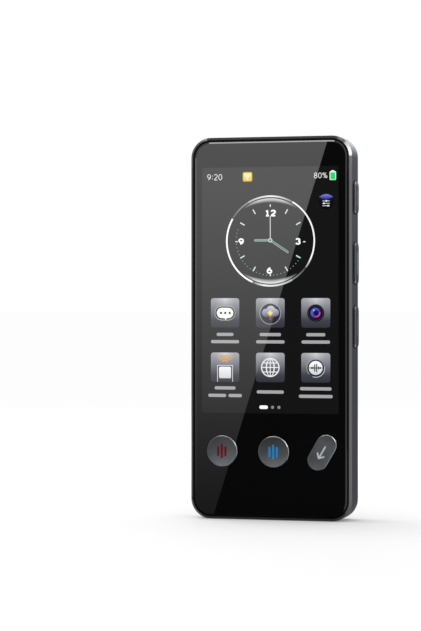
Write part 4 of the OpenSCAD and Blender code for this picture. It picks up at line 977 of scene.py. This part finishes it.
def slantAt(z):
    (topX, topZ), (lowX, lowZ) = slant["top"], slant["low"]
    return lowX + (topX - lowX) * (z - lowZ) / (topZ - lowZ)


def glowAt(z):
    up = max(z, 0) / ramp["high"]
    return ramp["dim"] + ramp["gain"] * up * (1 - ramp["bend"] + ramp["bend"] * up * (3 - 2 * up))


def cardFinish(name):
    # A card that glows, with a strength that each corner carries
    material, add = newMaterial(name)[:2]
    strength = add("Attribute", attribute_name="strength").outputs["Fac"]
    glow = add("Emission", {"Color": (1, 1, 1, 1), "Strength": strength})
    add("OutputMaterial", {"Surface": glow})
    return material


def glowingSheet(name, points, strengths, faces=((0, 1, 2, 3),)):
    sheet = stageSheet(name, cardFinish(name), points, faces)
    sheet.data.attributes.new("strength", "FLOAT", "POINT").data.foreach_set("value", strengths)
    sheet.visible_camera = sheet.visible_diffuse = sheet.visible_transmission = sheet.visible_shadow = False


def rampCard(name, sides, strengthAt):
    # A strip of faces between two edges, given on the glass
    points, strengths, faces = [], [], []
    for i in range(ramp["rows"] + 1):
        z = ramp["low"] + (ramp["high"] - ramp["low"]) * i / ramp["rows"]
        points += [mirrored(side(z), z) for side in sides]
        strengths += [strengthAt(z)] * 2
        if i:
            faces.append((2 * i - 2, 2 * i - 1, 2 * i + 1, 2 * i))
    glowingSheet(name, points, strengths, faces)


rampCard("litCard", (lambda z: ramp["left"], slantAt), glowAt)
rampCard("edgeCard", (lambda z: ramp["edge"], lambda z: ramp["left"]),
         lambda z: ramp["edgeGain"] * glowAt(z))
rampCard("blackCard", (slantAt, lambda z: ramp["right"]), lambda z: ramp["black"])

# Cards with an even strength, or with one for each corner
cards = {
    # Above the ramp, bright, for the rounded top edge of the glass
    "edgeStrip": (10, [(-170, -500, 190), (-55, -500, 190), (-55, -500, 330), (-170, -500, 330)]),
    # At the upper right, for the bevel of the corner
    "cornerPanel": ([0, 0, 10, 10, 4, 4], [
        (430, -112, 153), (430, 18, 153), (386, 25, 222), (386, -104, 222), (240, 47, 450), (240, -78, 450),
    ], [(0, 1, 2, 3), (3, 2, 4, 5)]),
    # Behind, for the side of that corner and the upper ends of the side keys
    "cornerGlow": ([0.2, 3, 2, 7, 11, 0.5, 0.1, 0.2, 0.1], [
        (-40, 500, 180), (60, 500, 180), (170, 500, 180), (170, 500, 360), (60, 500, 360), (-40, 500, 360),
        (-320, 500, 145), (-40, 500, 145), (-320, 500, 360),
    ], [(0, 1, 4, 5), (1, 2, 3, 4), (6, 7, 0), (6, 0, 5, 8)]),
    # Close over the front of the top, dim, which keeps the top bevel grey
    "topCard": (0.42, [(-30, -14, 150), (26, -14, 150), (26, 2, 150), (-30, 2, 150)]),
    # Overhead, for the lip of the lanyard slot
    "backStrip": (3, [(-320, -60, 480), (60, -60, 480), (60, 120, 480), (-320, 120, 480)]),
    # On the floor under the front bevel, dim
    "footCard": (0.2, [(-30, -8, 0.04), (30, -8, 0.04), (30, -5.95, 0.04), (-30, -5.95, 0.04)]),
    # At the left of the front, dark, which shades one side of the camera's rim
    "rimFlag": (0.12, [(-300, -260, 0), (-300, -60, 0), (-300, -60, 260), (-300, -260, 260)]),
    # At the left, grey, which darkens the left bevel
    "leftFlag": (0.65, [(-80, -20, 0), (-80, 60, 0), (-80, 60, 130), (-80, -20, 130)]),
    # At the front right, dim, for the rounded edge of the glass
    "rightFlag": (0.35, [(197, -362, 0), (393, -163, 0), (393, -163, 148), (197, -362, 148)]),
}
for name, (glow, points, *faces) in cards.items():
    strengths = glow if isinstance(glow, list) else [glow] * len(points)
    glowingSheet(name, points, strengths, *faces)

# A ramp behind the device, dark at its foot, so that the cover shades towards the bottom. The band at its
# right lights the side evenly. The band's edges each have a place across and how that grows with y.
rear = {
    "near": 8, "far": 1300, "lift": 1, "rise": 0.12, "half": 150, "flare": 1.1,
    "band": ((20, 0.06), (30, 0.19)), "dark": 0.14, "power": 1.35, "side": 0.84, "rows": 14, "crowding": 1.6,
}
points, strengths, faces = [], [], []
for i in range(rear["rows"] + 1):
    y = rear["near"] + (rear["far"] - rear["near"]) * (i / rear["rows"]) ** rear["crowding"]
    edge = rear["half"] + rear["flare"] * y
    band = [start + growth * y for start, growth in rear["band"]]
    points += [(x, y, rear["lift"] + rear["rise"] * (y - rear["near"])) for x in (-edge, *band, edge)]
    falling = rear["dark"] + (1 - rear["dark"]) * (y / rear["far"]) ** rear["power"]
    strengths += [falling, falling, rear["side"], rear["side"]]
    if i:
        faces += [(4 * i - 4 + j, 4 * i - 3 + j, 4 * i + 1 + j, 4 * i + j) for j in range(3)]
glowingSheet("rearRamp", points, strengths, faces)

# A soft sun from the upper left, which metal doesn't mirror, and soft boxes above and behind
lamps = {
    "sun": {"kind": "SUN", "place": (-0.55, 0.12, 0.8), "aim": (0, 0, 0), "angle": 40, "power": 0.9},
    "overheadBox": {"kind": "AREA", "place": (0.05, -0.05, 0.62), "aim": (0, 0, 0.12), "size": (0.5, 0.1),
                    "power": 0.1},
    "rearBox": {"kind": "AREA", "place": (-0.2, 0.5, 0.45), "aim": (0, 0, 0.07), "size": (0.3, 0.2),
                "power": 0.5},
}
for name, lamp in lamps.items():
    light = bpy.data.lights.new(name, lamp["kind"])
    light.energy = lamp["power"]
    if lamp["kind"] == "SUN":
        light.angle = math.radians(lamp["angle"])
    else:
        light.shape = "RECTANGLE"
        light.size, light.size_y = lamp["size"]
    holder = bpy.data.objects.new(name, light)
    holder.location = lamp["place"]
    holder.rotation_euler = (Vector(lamp["aim"]) - Vector(lamp["place"])).to_track_quat("-Z", "Y").to_euler()
    holder.visible_glossy = lamp["kind"] != "SUN"
    scene.collection.objects.link(holder)
print("stage and lamps set")
